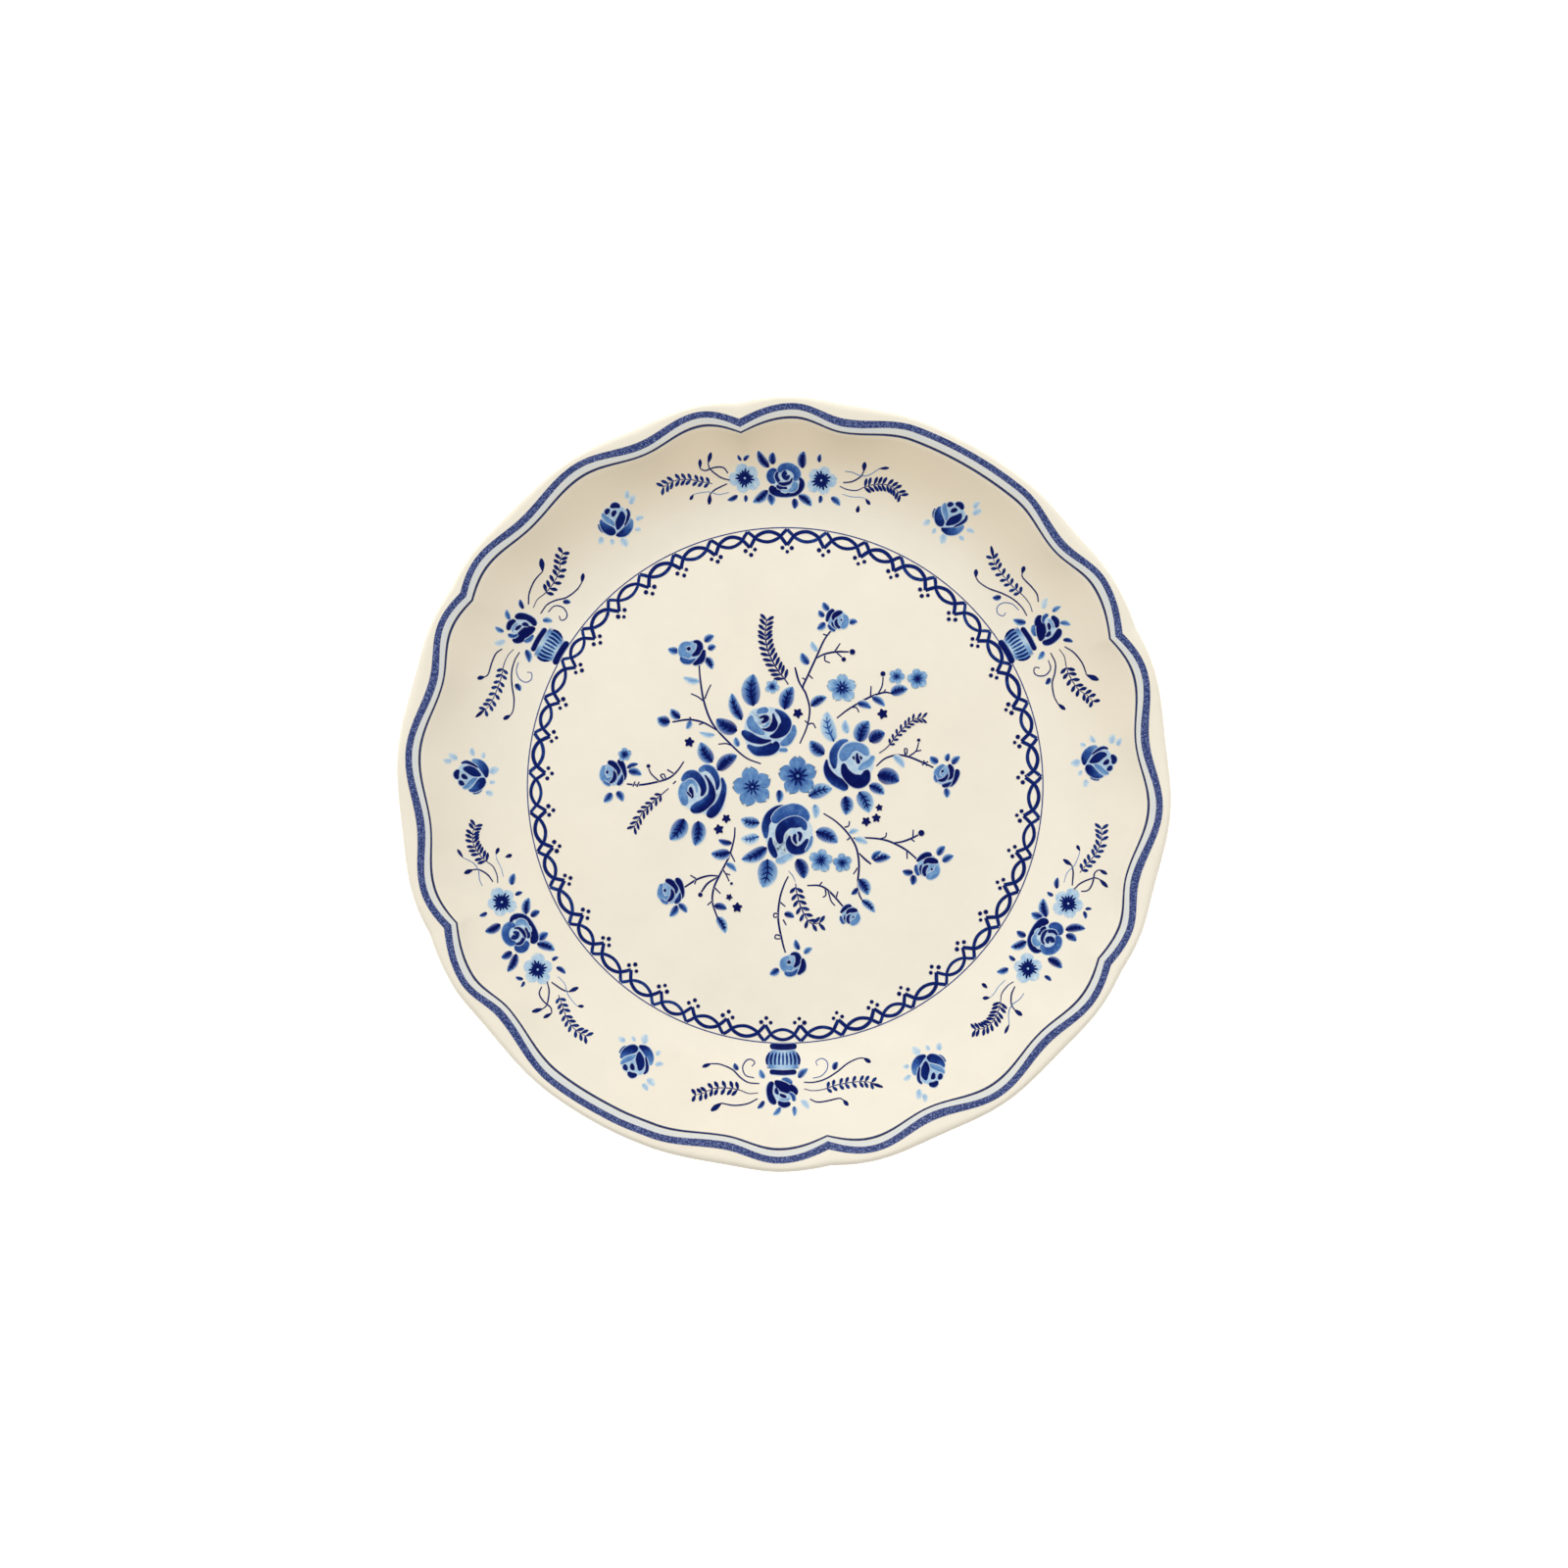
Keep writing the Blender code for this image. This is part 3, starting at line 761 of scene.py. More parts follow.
ROSE_LOW = read_table("""
.4 .3 .02 0, -6.2 -18.9 1, -6.4 -16.3 2.2, -6.3 -13.8 2.5, -4.8 -11.1 3.1, -2.4 -8.9 2.5, .2 -7.6 .9;
.42 .36 .5 .4, -3.9 -13.4 2.4, -1.6 -10.9 3.8, 1.3 -9.7 4.6, 4.2 -9.4 4.6, 6.7 -10.6 3.8, 8.1 -13 2;
0 0 .4 .3, -1.2 -20.8 1.8, -1.5 -17.7 2.9, -.7 -15.3 3.5, 1.5 -13.6 3.5, 4.2 -13.2 3.8, 6.5 -13.9 2.7,
7.5 -16.1 1.2;
.1 .2, -4.6 -18.4 .8, -4.7 -20.9 1.9, -3.9 -23.1 2.3, -2.7 -25.6 1.5;
.72 .8, -3 -26.5 1.4, -.9 -26.5 2.1, 1.1 -25.2 2, 3 -24.5 1;
.02 .1 .04 .3, 1.9 -17.8 .5, 1.7 -20.4 2.2, 2.8 -22.4 3, 4.7 -23 2.8, 6.7 -22.1 2.8, 8.3 -18.9 .9;
.6 .5, 9.7 -17.9 .8, 9.1 -20.7 1.1, 7.5 -23.5 .8;
0 0, 3.9 -17.2 .9, 3.6 -19 1.3, 4.4 -20.8 .7;
.02 0, 4.6 -16.6 .8, 5.7 -17.6 1.3, 5.3 -20 .7
""")
BIG_ROSES = (
    (((-5.8, 18.3, 8.6), (-8.5, 22.5, 4.2)), ROSE_TOP), (((23.0, 7.0, 8.2),), ROSE_RIGHT),
    (((-28.5, -2.6, 7.8), (-25, -7, 4.5)), ROSE_LEFT), (((1.5, -16.5, 8.6), (0.5, -22, 4.8)), ROSE_LOW),
)
# Three kinds of small rose, round their own middle.
SMALL_ONE = read_table("""
.64 .6, -.5 2.9 1.2, -2.8 2.1 2.2, -3.6 .3 2.3, -2.5 -1.2 2.3, -.3 -1 1.2;
.45 .3, -4.2 -1.8 .9, -3 -3 1.6, -1.1 -3.4 1.4, 1 -2.5 .8;
.08 .02, .2 3.5 .7, 1.7 3.4 1.2, 2.5 2.4 1.7, 2.4 .9 1.9, 1.5 -.4 1.6, -.2 -1.4 .8;
.1 .02, 4 .8 .9, 3.6 -1.3 1.6, 2.6 -3 1.9, .2 -4.5 .8;
0 0, -2.1 .9 .6, -1.2 1.2 1.2, -1.4 .4 .7
""")
SMALL_TWO = read_table("""
.6 .64, 3.2 .2 1.3, 2.8 -2 1.9, 1 -3.3 2.2, -.9 -3.3 1.3;
.1 .02, -4 1.6 .8, -2.3 3.1 1.4, -.6 3.9 1.6, 1.3 3.9 1.3;
0 .02, -1.6 .7 .6, -.4 1.9 1.5, 1.6 1.9 1.8, 3.5 1.4 .9;
.4 .3, -4.2 .6 .7, -4.1 -1.3 1.2, -3.2 -3.2 1.1;
.24 .14, -2.3 .7 .5, -2.7 -.9 .9, -2.2 -2.9 .8;
.04 .12, 0 .4 .6, -1.1 -.6 1.2, -1.5 -2.1 1.2, -.9 -3.5 .8;
.02 0, .9 -.8 .8, 1.5 -1.3 1.1
""")
SMALL_THREE = read_table("""
.55 .62, -2.8 3 .9, -3.4 .9 1.4, -3.2 -1.1 1.8, -1.9 -2.3 1.6, -.3 -1.3 .9;
.45 .5, -3.2 -2.3 .7, -2.1 -3.3 1, -.6 -3.9 .8;
.02 .06, -1.7 4.1 1.1, 0 3.6 1.6, 1.5 2.4 1.6, 2.2 .9 1.2, 1.6 -.8 .7;
.02 .06, 1.9 4.8 1.1, 3 3.7 1.7, 3.9 1.9 1.4, 4.4 -.4 1, 4.2 -2.2 .5;
.04 .1, .4 1.1 .6, .9 -.6 1.2, .4 -2.1 1.2, -.9 -3.3 .7;
.1 .25, 3.5 -.2 .5, 3 -2.3 1.4, 1.7 -3.9 1.1;
.06 0, -1.8 1.2 1, -1.7 0 .9
""")
# Small roses: centre, size, turn and kind.
SMALL_ROSES = (
    ((-31.7, 45.8), 1.0, 0, SMALL_ONE), ((18.5, 57), 0.87, 35, SMALL_TWO),
    ((-59.5, 3.5), 1.0, 0, SMALL_THREE), ((55.8, 3), 0.9, -40, SMALL_THREE),
    ((50, -28.5), 1.0, 0, SMALL_TWO), ((23, -45.5), 0.8, 10, SMALL_TWO),
    ((3.2, -62.3), 0.92, 20, SMALL_ONE), ((-39.5, -37.5), 1.0, 0, SMALL_THREE),
)
# Blossoms: centre, radius, radius of the heart, tone near the heart and at the rim, turn.
BLOSSOMS = (
    ((-11, -1), 6.6, 1.8, (0.54, 0.62), 100), ((4.8, 2.8), 6.5, 2.2, (0.42, 0.6), 92),
    ((20.2, 33.3), 4.9, 1.5, (0.5, 0.8), 90), ((39, 37.3), 2.7, 0.9, (0.5, 0.75), 70),
    ((46.3, 36.5), 3.5, 1.1, (0.45, 0.75), 100), ((12.8, -26.5), 4.0, 1.2, (0.45, 0.78), 80),
    ((20.2, -27.3), 3.2, 1.0, (0.45, 0.72), 95), ((-4.1, 33.7), 2.4, 0.8, (0.5, 0.8), 60),
    ((-55.3, 10.2), 2.3, 0.9, (0.4, 0.75), 90),
)
# Dark five-lobed flowers and round buds: x, y and radius.
STARS = (
    (-32.8, 14.5, 1.9), (4.8, 24.5, 1.9), (34.2, 24.3, 2.0), (-20, -12, 1.7), (-22.6, -15.7, 1.9),
    (28.5, -13, 1.8), (32, -11.8, 1.7), (33, -8.2, 1.4), (-19, -39.2, 1.3), (-16.2, -42.8, 1.9),
)
BUDS = (
    (-47, 6.2, 0.8), (23.7, 45.8, 1.1), (20.7, 43.2, 0.9), (34.3, 38.2, 1.0), (46.7, 15.2, 0.7),
    (47.6, -17, 1.2), (-29, -38.4, 0.9), (-18.2, -34.5, 0.6),
)
# Leaves: look, base, tip and width.
BOUQUET_LEAVES = """
mid -10.6 27 -10.7 38.2 6.2; mid -14.6 22.2 -18.2 31.5 3.6; dark -16.2 18.5 -23.5 22.5 4.8;
mid -24.8 7.5 -29 14.5 4.6; dark -23 4.7 -16.3 10 4.2; mid .2 25.8 3 33.8 4.8; mid 9.4 27 14.8 30.2 3;
pale 17.3 14.7 14.8 25.2 5; pale 22 17.5 21.2 22.3 2.4; mid 26 14.5 29.3 22 5.2;
dark 29.7 14.6 35 17.8 4.3; mid 14 10.3 9 15 4.2; dark 32.3 3 40 1 5.6; mid 29.5 -.5 34.8 -3.5 3.4;
light 26 -2.7 29.5 -10 5.2; mid 21.2 -4.2 21.5 -10.8 4.2; light 8.5 -4.3 16.8 -1.5 4.7;
mid -1.8 -2 -1.8 -6.5 2.4; mid 11 -16.5 18.7 -20.3 4.8; pale 10.6 -7 10.9 -12 2.4;
dark 4.5 -26 7 -32.8 4.2; light -8.5 -13.5 -15 -12.2 3.8; pale -8.7 -18.2 -15 -19 3.5;
mid -6 -22 -14.8 -26.3 4.2; light -5.8 -26 -7.3 -36 6.6; mid -34.7 -12 -39.5 -19.5 5.4;
mid -29.8 -12.8 -30.8 -21.5 4.8; pale -29.2 35.5 -35 37 2.2; mid -39.5 21.5 -44 22.8 3.6;
mid -36 22.8 -39.3 26 2.8; light -32.5 22 -33.8 19 1.9; pale -24 17 -29.5 18 1.7;
light -15.7 13 -16.8 16.3 2; mid 8.6 41.5 6 45.5 2.5; pale 11.5 46 9.5 49.5 1.9; mid 37 31.3 43 33 3.5;
mid 25.3 28 30.3 26.3 2.3; mid 30.5 30 35 27 2.3; pale 38 9.8 41.7 5.7 2.3; light 27 -40.3 31.5 -44.5 2.6;
pale 24.5 -19 29 -20.6 2; pale 22.5 -17 26 -16 1.7; mid 31 -26.5 37 -25.3 3; mid 30.5 -26.2 33.7 -23.2 2;
mid 26 -33 29.2 -38.5 3.7; dark 25.6 -36 23.3 -38.3 1.7; dark 0 -45 3.6 -46.2 2;
light -23.2 -46 -20.2 -51.8 2.8; dark -18 -20.5 -22.8 -19.3 1.9; mid -18.7 -23.7 -25.3 -24.2 3.5;
light -20 -27.5 -16.5 -30.3 1.9; dark -24.3 -42.3 -19.8 -43.3 2.3; mid -36.5 46.2 -40.3 46.8 2.4;
mid -27.5 49.2 -24.3 51.5 2.4; mid -26.3 46.6 -23.6 47.8 2.2; mid -27.2 43.8 -24.8 39.8 2.6;
mid 15.6 60.2 13.5 63 2.1; mid 14 58 12 60.2 1.9; mid 14.2 56 11.5 53.6 2.3; mid 22.5 55.8 25.5 56.3 2;
dark -54.5 5.5 -50.5 7 1.5; mid -54 4.5 -49.3 3.2 2.5; mid -59.8 -3 -62.5 -6.3 2.5;
mid -58 -2.6 -55.8 -6 2.4; mid 53.5 7.5 50.6 9.5 2.4; mid 56.5 7.8 57.2 10.7 1.8; mid 58.3 6.8 61 9.6 2.1;
mid 56 -1.5 56.5 -4.8 2.1; mid 53.3 -24.8 55.8 -21.5 2.3; mid 55 -27 58.8 -24.8 2.4;
dark 44.8 -30.6 41 -30.2 2.1; dark 44.7 -31.5 44.5 -35 2.2; mid 5.3 -57.5 3.9 -53.8 1.9;
light 7 -58.8 9.8 -56.8 1.9; mid -1.8 -64 -5 -66 2.4; mid -37 -42 -39.6 -46 2.4;
mid -36.6 -41.6 -33.6 -44.6 2.1
"""
STEM_WIDTH = 0.76
TWIG_WIDTH = 0.6
STEMS = read_table("""
-8 7, -13 9, -18 13.3, -24.5 20.5, -27.6 28, -29 36, -29.4 41.3; -23 18.5, -28 21.3, -33 22.3, -38.7 21.5;
5.5 14, 8 20, 8.9 26, 7.5 31.5, 6.5 33.5, 8 37, 11 43.5, 14 50, 17 54; 11 43.5, 14 45, 18 45.8, 22.5 45.8;
6.5 33, 5 36, 3.8 40.5; 18.3 22.8, 22.5 26, 29.5 30, 34.5 31.7, 37 31.5;
32 6.2, 35 8.8, 39 10, 43 9.5, 47.5 7.7, 51.8 5.7;
13.7 -10.2, 18 -13, 22 -17, 25 -22, 26 -28, 25.6 -34, 26 -38, 27 -40.2;
24 -18.8, 29 -18.7, 34 -19.2, 38 -20.5, 42.5 -23, 46 -26; 37.5 -20.5, 41 -20, 44.5 -18.7, 46.8 -17.5;
26 -24, 28 -26, 30.2 -27.8; 8 -35.2, 12.5 -35.3, 16 -37.5, 20.5 -42.5;
1.5 -32, 0 -35, -1.5 -40, -2 -47, -.5 -55, .5 -58.5;
-17 -15, -17.3 -19, -19 -25, -22 -31, -24.3 -36, -24.8 -41, -23.2 -46;
-22.8 -31.9, -26 -31.8, -30 -33, -34.5 -35.8; -23 -32.3, -26.5 -34.5, -28.8 -37.7;
-34.7 7.8, -37 4.5, -40 2, -45 .5, -50 -.3, -54.5 0
""")
TWIGS = read_table("""
-27.8 28.7, -30 30.3, -32.3 31.3; -27.5 29.5, -26.3 32.5, -25.3 34.5; -18 13.3, -20 14, -22.8 13.8;
-29.5 20.6, -27.5 21.3; -32.8 23.2, -31.8 22; 17.5 45.8, 19.5 48.8; 18.3 45.5, 20.5 43.5;
14.2 44.6, 14.2 42.8, 16 42; 8.3 21, 7.2 22; 8.3 20.7, 10 21, 11 19.3; 7.4 36.2, 6.3 36.8;
8.3 38, 10 36.5; 14.8 51.5, 13.5 52; 32.5 31, 34 34, 34.4 37.4; 30 30.3, 30.2 34; 34.6 31.7, 35.2 32.8;
23 26.5, 25 26.5, 26 24.8; 42 10, 41.8 12.2, 42.7 12, 42.5 10.2; 43.5 9.7, 45.8 11.5, 46.7 14.5;
45.5 11.3, 47.6 11.7; 48.3 8.2, 49.6 6.2; 47.8 6.6, 50 7.8; 33.5 -19, 35.2 -18.3, 35.5 -16.8;
44.7 -18.8, 44.8 -15.8; 44 -19, 45.3 -20; 42.6 -23, 42.7 -26; 21 -15, 22.4 -14.5, 22.7 -12.8;
23 -18.5, 21.8 -19.5; 25.6 -29, 24 -31.3; 12.3 -35.2, 13.2 -33.9; 14.3 -36.5, 14.5 -38.5, 13.4 -39.3;
15.3 -37, 16.3 -40.5, 17.7 -42.2; 18 -39.5, 18.7 -37.2; -1.3 -41, .5 -42.5; -.3 -47, .8 -49;
-18.5 -24, -17 -27; -21.3 -29.5, -20 -31.5, -19 -33.8; -20.5 -31, -18.6 -31.5; -30.5 -32.8, -32.5 -31.6;
-30.5 -33.3, -31 -34.8; -24.2 -35.8, -22 -38; -24.8 -40.5, -26.6 -42; -40.5 5, -38 3.5;
-43 .7, -46 3.5, -47 5.7; -37.5 1, -38.5 0; -51 -1, -50.2 .8; -52.4 -.9, -51.6 .9;
-2 -45, -3.4 -44.9, -3.4 -46.2, -2 -46; -1.2 -52.6, -2.8 -52.3, -3 -53.6, -1.2 -53.6;
-41.8 1.6, -42.8 3, -41.6 3.4, -41 1.9
""")

BOUQUET_FERNS = read_table("""
13 3.7 3 .12 52 1.25 .1 .6, 1.5 34.5, .5 36, -2.5 40, -5.5 46, -6.5 52, -6 57;
8 2.5 2.8 .14 42 1.05 .2 .5, -40 -1.5, -44 -5, -49 -10, -52 -15;
9 2 2.6 .16 44 .95 .25 .5, 33 10.7, 36 13, 40 18, 45 22.3, 48 22.8;
8 2.9 3.2 .18 52 1.3 .1 .5, 4 -34.5, 4.5 -38, 6 -43, 9 -48, 12.5 -48.2
""")


def bouquet():
    drawing = Print()
    for points in STEMS:
        drawing.stroke(points, STEM_WIDTH, 0.1, 0, (0.7, 0.9, 1, 1, 0.8))
    for points in TWIGS:
        drawing.stroke(points, TWIG_WIDTH, 0.12, 0, (1, 0.9, 0.8))
    drawing.leaves(BOUQUET_LEAVES)
    for ground, strokes in BIG_ROSES:
        drawing.flower((0, 0), 0, 1, ground, strokes, 4)
    for centre, scale, turn, strokes in SMALL_ROSES:
        drawing.flower(centre, turn, scale, ((0, 0, 4.1),), strokes, 4, 1.25, 0.72)
    for centre, radius, heart, tones, turn in BLOSSOMS:
        drawing.blossom(centre, radius, tones, heart, 4, turn)
    for x, y, radius in STARS:
        drawing.blob((x, y), radius, 0.02, 3, lobes=5, depth=0.32, turn=90 + 9 * x)
    for x, y, radius in BUDS:
        drawing.blob((x, y), radius, 0.06, 3)
    drawing.ferns(BOUQUET_FERNS[:3])
    drawing.stroke(((1.5, -30), (3, -31.8), (4, -34)), 0.3, 0.5, 1)
    drawing.ferns(BOUQUET_FERNS[3:])
    drawing.piece("centre_bouquet", "centre_bouquet_decal")


# ---------------------------------------------------------------- the chain round the well

CHAIN_REPEATS = 41
CHAIN_START = 1.6
CHAIN_CENTRE = (0.4, -0.5)
CIRCLE_RADIUS = 89.35
CIRCLE_EDGE = 0.32  # from the middle of the circle's line to where it has faded
CIRCLE_CORE = 0.12
CROSSING = 86.35  # where the two lines of the chain cross
LENS_RISE = 1.75
INNER_TIP = (83.3, 84.9)  # radii of the two lines in the diamonds between the lenses
OUTER_TIP = (88.8, 87.6)
CHAIN_DOTS = ((1.15, 82.4, 0.82), (-1.15, 82.4, 0.82), (0, 80.9, 0.78))  # turn, radius and size


def chain():
    drawing = Print()
    rng = np.random.default_rng(41)
    step = 360 / CHAIN_REPEATS
    middles = CHAIN_START + np.arange(CHAIN_REPEATS) * step + rng.uniform(-0.35, 0.35, CHAIN_REPEATS)
    ends = np.append(middles, middles[0] + 360)
    circle = CIRCLE_RADIUS + np.array([-CIRCLE_EDGE, -CIRCLE_CORE, CIRCLE_CORE, CIRCLE_EDGE])
    drawing.patch(at(CHAIN_CENTRE, AROUND[:, None], circle), 0.26, FADED, 0, loop=True)
    rest = np.linspace(-1, 1, 13)
    lens = np.cos(np.pi / 2 * rest) ** 0.8
    share = np.concatenate([[0, 0.09], 0.17 + 0.66 * (rest + 1) / 2, [0.91, 1]])
    for start, end in zip(ends, ends[1:]):
        angles = start + (end - start) * share
        middle = CROSSING + rng.uniform(-0.15, 0.15)
        outward = np.concatenate([INNER_TIP, middle + LENS_RISE * lens, INNER_TIP[::-1]])
        inward = np.concatenate([OUTER_TIP, middle - LENS_RISE * lens, OUTER_TIP[::-1]])
        weight = rng.uniform(0.9, 1.1)
        drawing.ribbon(at(CHAIN_CENTRE, angles, outward), 0.65 * weight, 0.15, 2)
        drawing.ribbon(at(CHAIN_CENTRE, angles, inward), 0.6 * weight, rng.uniform(0.14, 0.24), 1)
    for middle in middles:
        for turn, radius, size in CHAIN_DOTS:
            turn = middle + turn + rng.uniform(-0.1, 0.1)
            spot = at(CHAIN_CENTRE, turn, radius + rng.uniform(-0.15, 0.15))
            drawing.blob(spot, size * rng.uniform(0.9, 1.12), 0.05, 3)
    drawing.piece("chain_border", "chain_border_decal")


# ---------------------------------------------------------------- the rim


class RimPrint(Print):
    """A drawing on the rim, with points given as (degrees from its middle, radius)."""

    def __init__(self, middle, shift=0.0):
        super().__init__()
        self.middle = middle
        self.shift = shift

    def spot(self, point):
        return tuple(at((0, 0), self.middle + point[0], point[1] + self.shift).tolist())

    def tendrils(self, table):
        """Curling lines. A row starts with the line's width and tone, and the width of the drop
        that its last point is the tip of, or 0 where it has none."""
        for (width, tone, size), *points in table:
            points = [self.spot(p) for p in points]
            tip = points.pop() if size else None
            self.stroke(points, width, tone, 0, (0.8, 1, 1, 0.8))
            if tip:
                self.drop(points[-1], tip, size, min(tone, 0.1))


URN_MIDDLES = ((30.9, 0.0), (149.7, 0.0), (270.0, 1.2))  # and how far out each one is shifted
GARLAND_MIDDLES = (89.8, 209.5, 329.7)

URN_ROSE = read_table("""
.02 .1, 3.5 -3.6 1.5, 4.5 -1.8 2.1, 4.6 .7 2.1, 3.7 3 2.3, 2.3 4.4 1.4;
0 .02, 2.8 -3.9 1, .7 -2.3 3.3, -1.8 -1.3 3.6, -4 -.5 2.8, -5.3 1.1 1.4;
.5 .4, .3 -4.5 .8, -1.8 -4.2 1.5, -3.6 -2.9 1.2;
.1 .1, 2.3 -1.5 .7, 2.1 0 1.5, 1.4 1 .7;
.45 .3, -2.3 .2 .6, -3.9 1.5 1.3, -4.3 3.5 1.2;
.1 .02, 1.6 3.6 1.5, -.5 4.7 2, -3 4.2 1.4;
.7 .66, 1.2 2.6 .8, -1 3 .9, -2.6 2.4 .8;
0 .03, 1.1 .9 .6, -.3 1.6 1.3, -1.6 2 .7
""")
URN_LEAVES = """
faint 3.1 108.4 4.4 111.5 1.9; light 1.75 110.3 1.75 113.8 1.6; light -.6 110.6 -1.9 113.4 1.7;
dark -3.6 108.6 -4.7 111.5 1.5; mid 2.8 100.8 4.8 97.7 2.1; light -3.8 101 -4.8 98 1.8;
dark 9.9 99.4 10.9 96.8 1.8; dark -9.1 99.2 -10.1 97 1.6
"""

URN_TENDRILS = read_table("""
.58 .1 1.5, 4.7 108.2, 5.9 109.4, 7.6 109.5, 9.9 109.2, 10.6 110, 11.3 112.2;
.58 .1 1.9, -4.8 108.1, -6.5 110.1, -8.8 111.3, -11.1 111.3, -12.6 114.6;
.58 .1 1.5, 3.8 102.3, 5.6 102.6, 7.9 102, 10.3 100.3, 12.8 98.1, 15 97.3, 16.2 97.7, 17.3 99.8;
.58 .1 1.4, -4.7 102.9, -6.8 102.9, -8.5 101.5, -10.3 99.3, -12.8 98.4, -14.6 98.9, -16.1 100.8;
.38 .42 0, 5.6 101.2, 7.3 100.7, 8.6 98.7, 8.8 96.2, 7.8 94.8, 6.6 95.6, 6.8 97.1;
.5 .2 0, -5.8 101.1, -7.5 100.6, -8.3 98.1, -7.8 95.6, -6.8 94.9, -6 95.9, -6.5 97.3
""")
URN_SPRIGS = read_table("""
8 2.3 2.5 .22 58 1.2 .34 .4, 3.8 104.6, 5.3 105.4, 7.3 105.4, 9.9 104.6, 13.3 104.8, 15.3 105.6,
16.4 106.6;
8 2.9 2.5 .14 60 1.3 .32 .4, -4.8 106.1, -6.5 106.6, -8.5 105.8, -10.8 105.9, -13.1 107.1, -14.8 109.6,
-16 110.7
""")

# The urn's body: radius on the plate, and half its width in degrees.
URN_BODY = ((91.2, 2.7), (92.6, 3.3), (94.5, 3.6), (97.2, 3.3))
URN_TOP = 97.6
URN_FOOT = ((2.8, 89.7), (0.9, 89.9), (-1.1, 89.9), (-3.1, 89.7))
URN_NECK = ((2.5, 98.6), (-0.2, 98.8), (-2.9, 98.6))
FLUTES = 9


def urn(index, middle, shift):
    drawing = RimPrint(middle, shift)
    spot = drawing.spot
    radii = np.linspace(URN_BODY[0][0], URN_TOP, 10)
    halves = np.interp(radii, *zip(*URN_BODY))
    sides = np.linspace(1, -1, 13)
    body = [[spot((half * side - 0.2, radius)) for side in sides] for half, radius in zip(halves, radii)]
    tones = 0.9 - 0.45 * np.abs(sides) ** 1.5
    covers = np.where(np.abs(sides) > 0.95, 0.3, 1.0)
    drawing.patch(np.array(body), tones, covers, 0)
    middle_flute = FLUTES // 2
    for i in range(FLUTES):
        side = (i - middle_flute) / middle_flute * 0.94
        stations = zip(halves[1:-1:2], radii[1:-1:2])
        points = [spot((half * side - 0.2, radius)) for half, radius in stations]
        away = abs(side)
        drawing.stroke(points, 0.6 + 0.25 * away, 0.3 - 0.26 * away, 2, (0.4, 1, 1, 0.7), edge=0.6)
    drawing.brush([(*spot(p), 2.3) for p in URN_FOOT], (0.1, 0.02), 3)
    drawing.brush([(*spot(p), 1.8) for p in URN_NECK], (0.06, 0.02), 3)
    drawing.flower(spot((-0.3, 105.3)), middle - 90, 0.95, ((0, 0, 4.4),), URN_ROSE)
    drawing.leaves(URN_LEAVES)
    drawing.tendrils(URN_TENDRILS)
    drawing.ferns(URN_SPRIGS[:1])
    drawing.drop(spot((16.2, 106.6)), spot((18.1, 109.2)), 1.2, 0.06)
    drawing.ferns(URN_SPRIGS[1:])
    drawing.piece(f"urn_{index}", f"urn_decal_{index}")


GARLAND_ROSE = read_table("""
.36 .3 .4 .3, -3 3.3 1.5, -4.6 2.2 2.8, -5.1 .5 2.7, -3.7 -1.6 1.8;
.45 .34 .5 .4, -2.2 2.3 1.5, -1.2 3.9 2.3, 1.2 4.4 2.4, 3.5 3.2 2.6, 4.3 1.2 2.4, 3.2 -.7 1.3;
.1 .16, -2.6 2.7 .8, -3.1 .8 1.3, -1.9 -1.4 1.3;
0 .1 .02 .08, -5.1 -2.3 1.3, -4.2 -4 2.8, -1.7 -4.8 2.9, 1.2 -5.2 2.2, 4 -4.5 2.3, 5.7 -2.7 2.1, 6 -1 1.6,
5 .5 .8;
.6 .7, 2.9 -.9 1.2, 3.5 -2.3 2.3, 2.7 -3.7 1.8, .7 -4.2 .8;
.12 .08, -3.1 -2.4 1.3, -1.2 -3 1.6, .9 -3.3 .8;
.72 .76, -1.6 -4 .6, 0 -4.4 .9, 1.4 -4.1 .5;
.08 .04, -2.5 -1.5 .8, -.3 -1.8 1.3, 1.8 -1.1 1, 2.6 .4 .5;
.2 .1, 0 3 1.2, -.2 1.4 2.1, .5 .3 1.6, 1.6 1.4 1
""")
GARLAND_LEAVES = """
dark 2.9 109.7 4.7 115.6 2.6; dark 2.1 110.6 2.1 114.8 2.4; dark -3.2 109.5 -3.2 115.3 2.8;
dark -6.1 111.9 -6.1 114.8 1.4; dark 7.7 112.8 8.2 114.9 1.1; dark 7.3 112.6 6.2 114.3 1.3;
mid 3.4 101.9 6.5 98.1 3; mid 3.1 100.6 2.7 96.6 2.5; dark -1.8 99 -2 95.4 2.1;
mid -2.7 100.1 -5.5 96.8 2.8; dark -7 100.8 -7 98 1.4; mid -9.1 100.6 -11.2 98.4 2.1;
dark 9.3 101.3 11.5 100.2 1.6; dark 7.8 101 8 98.5 1.3
"""

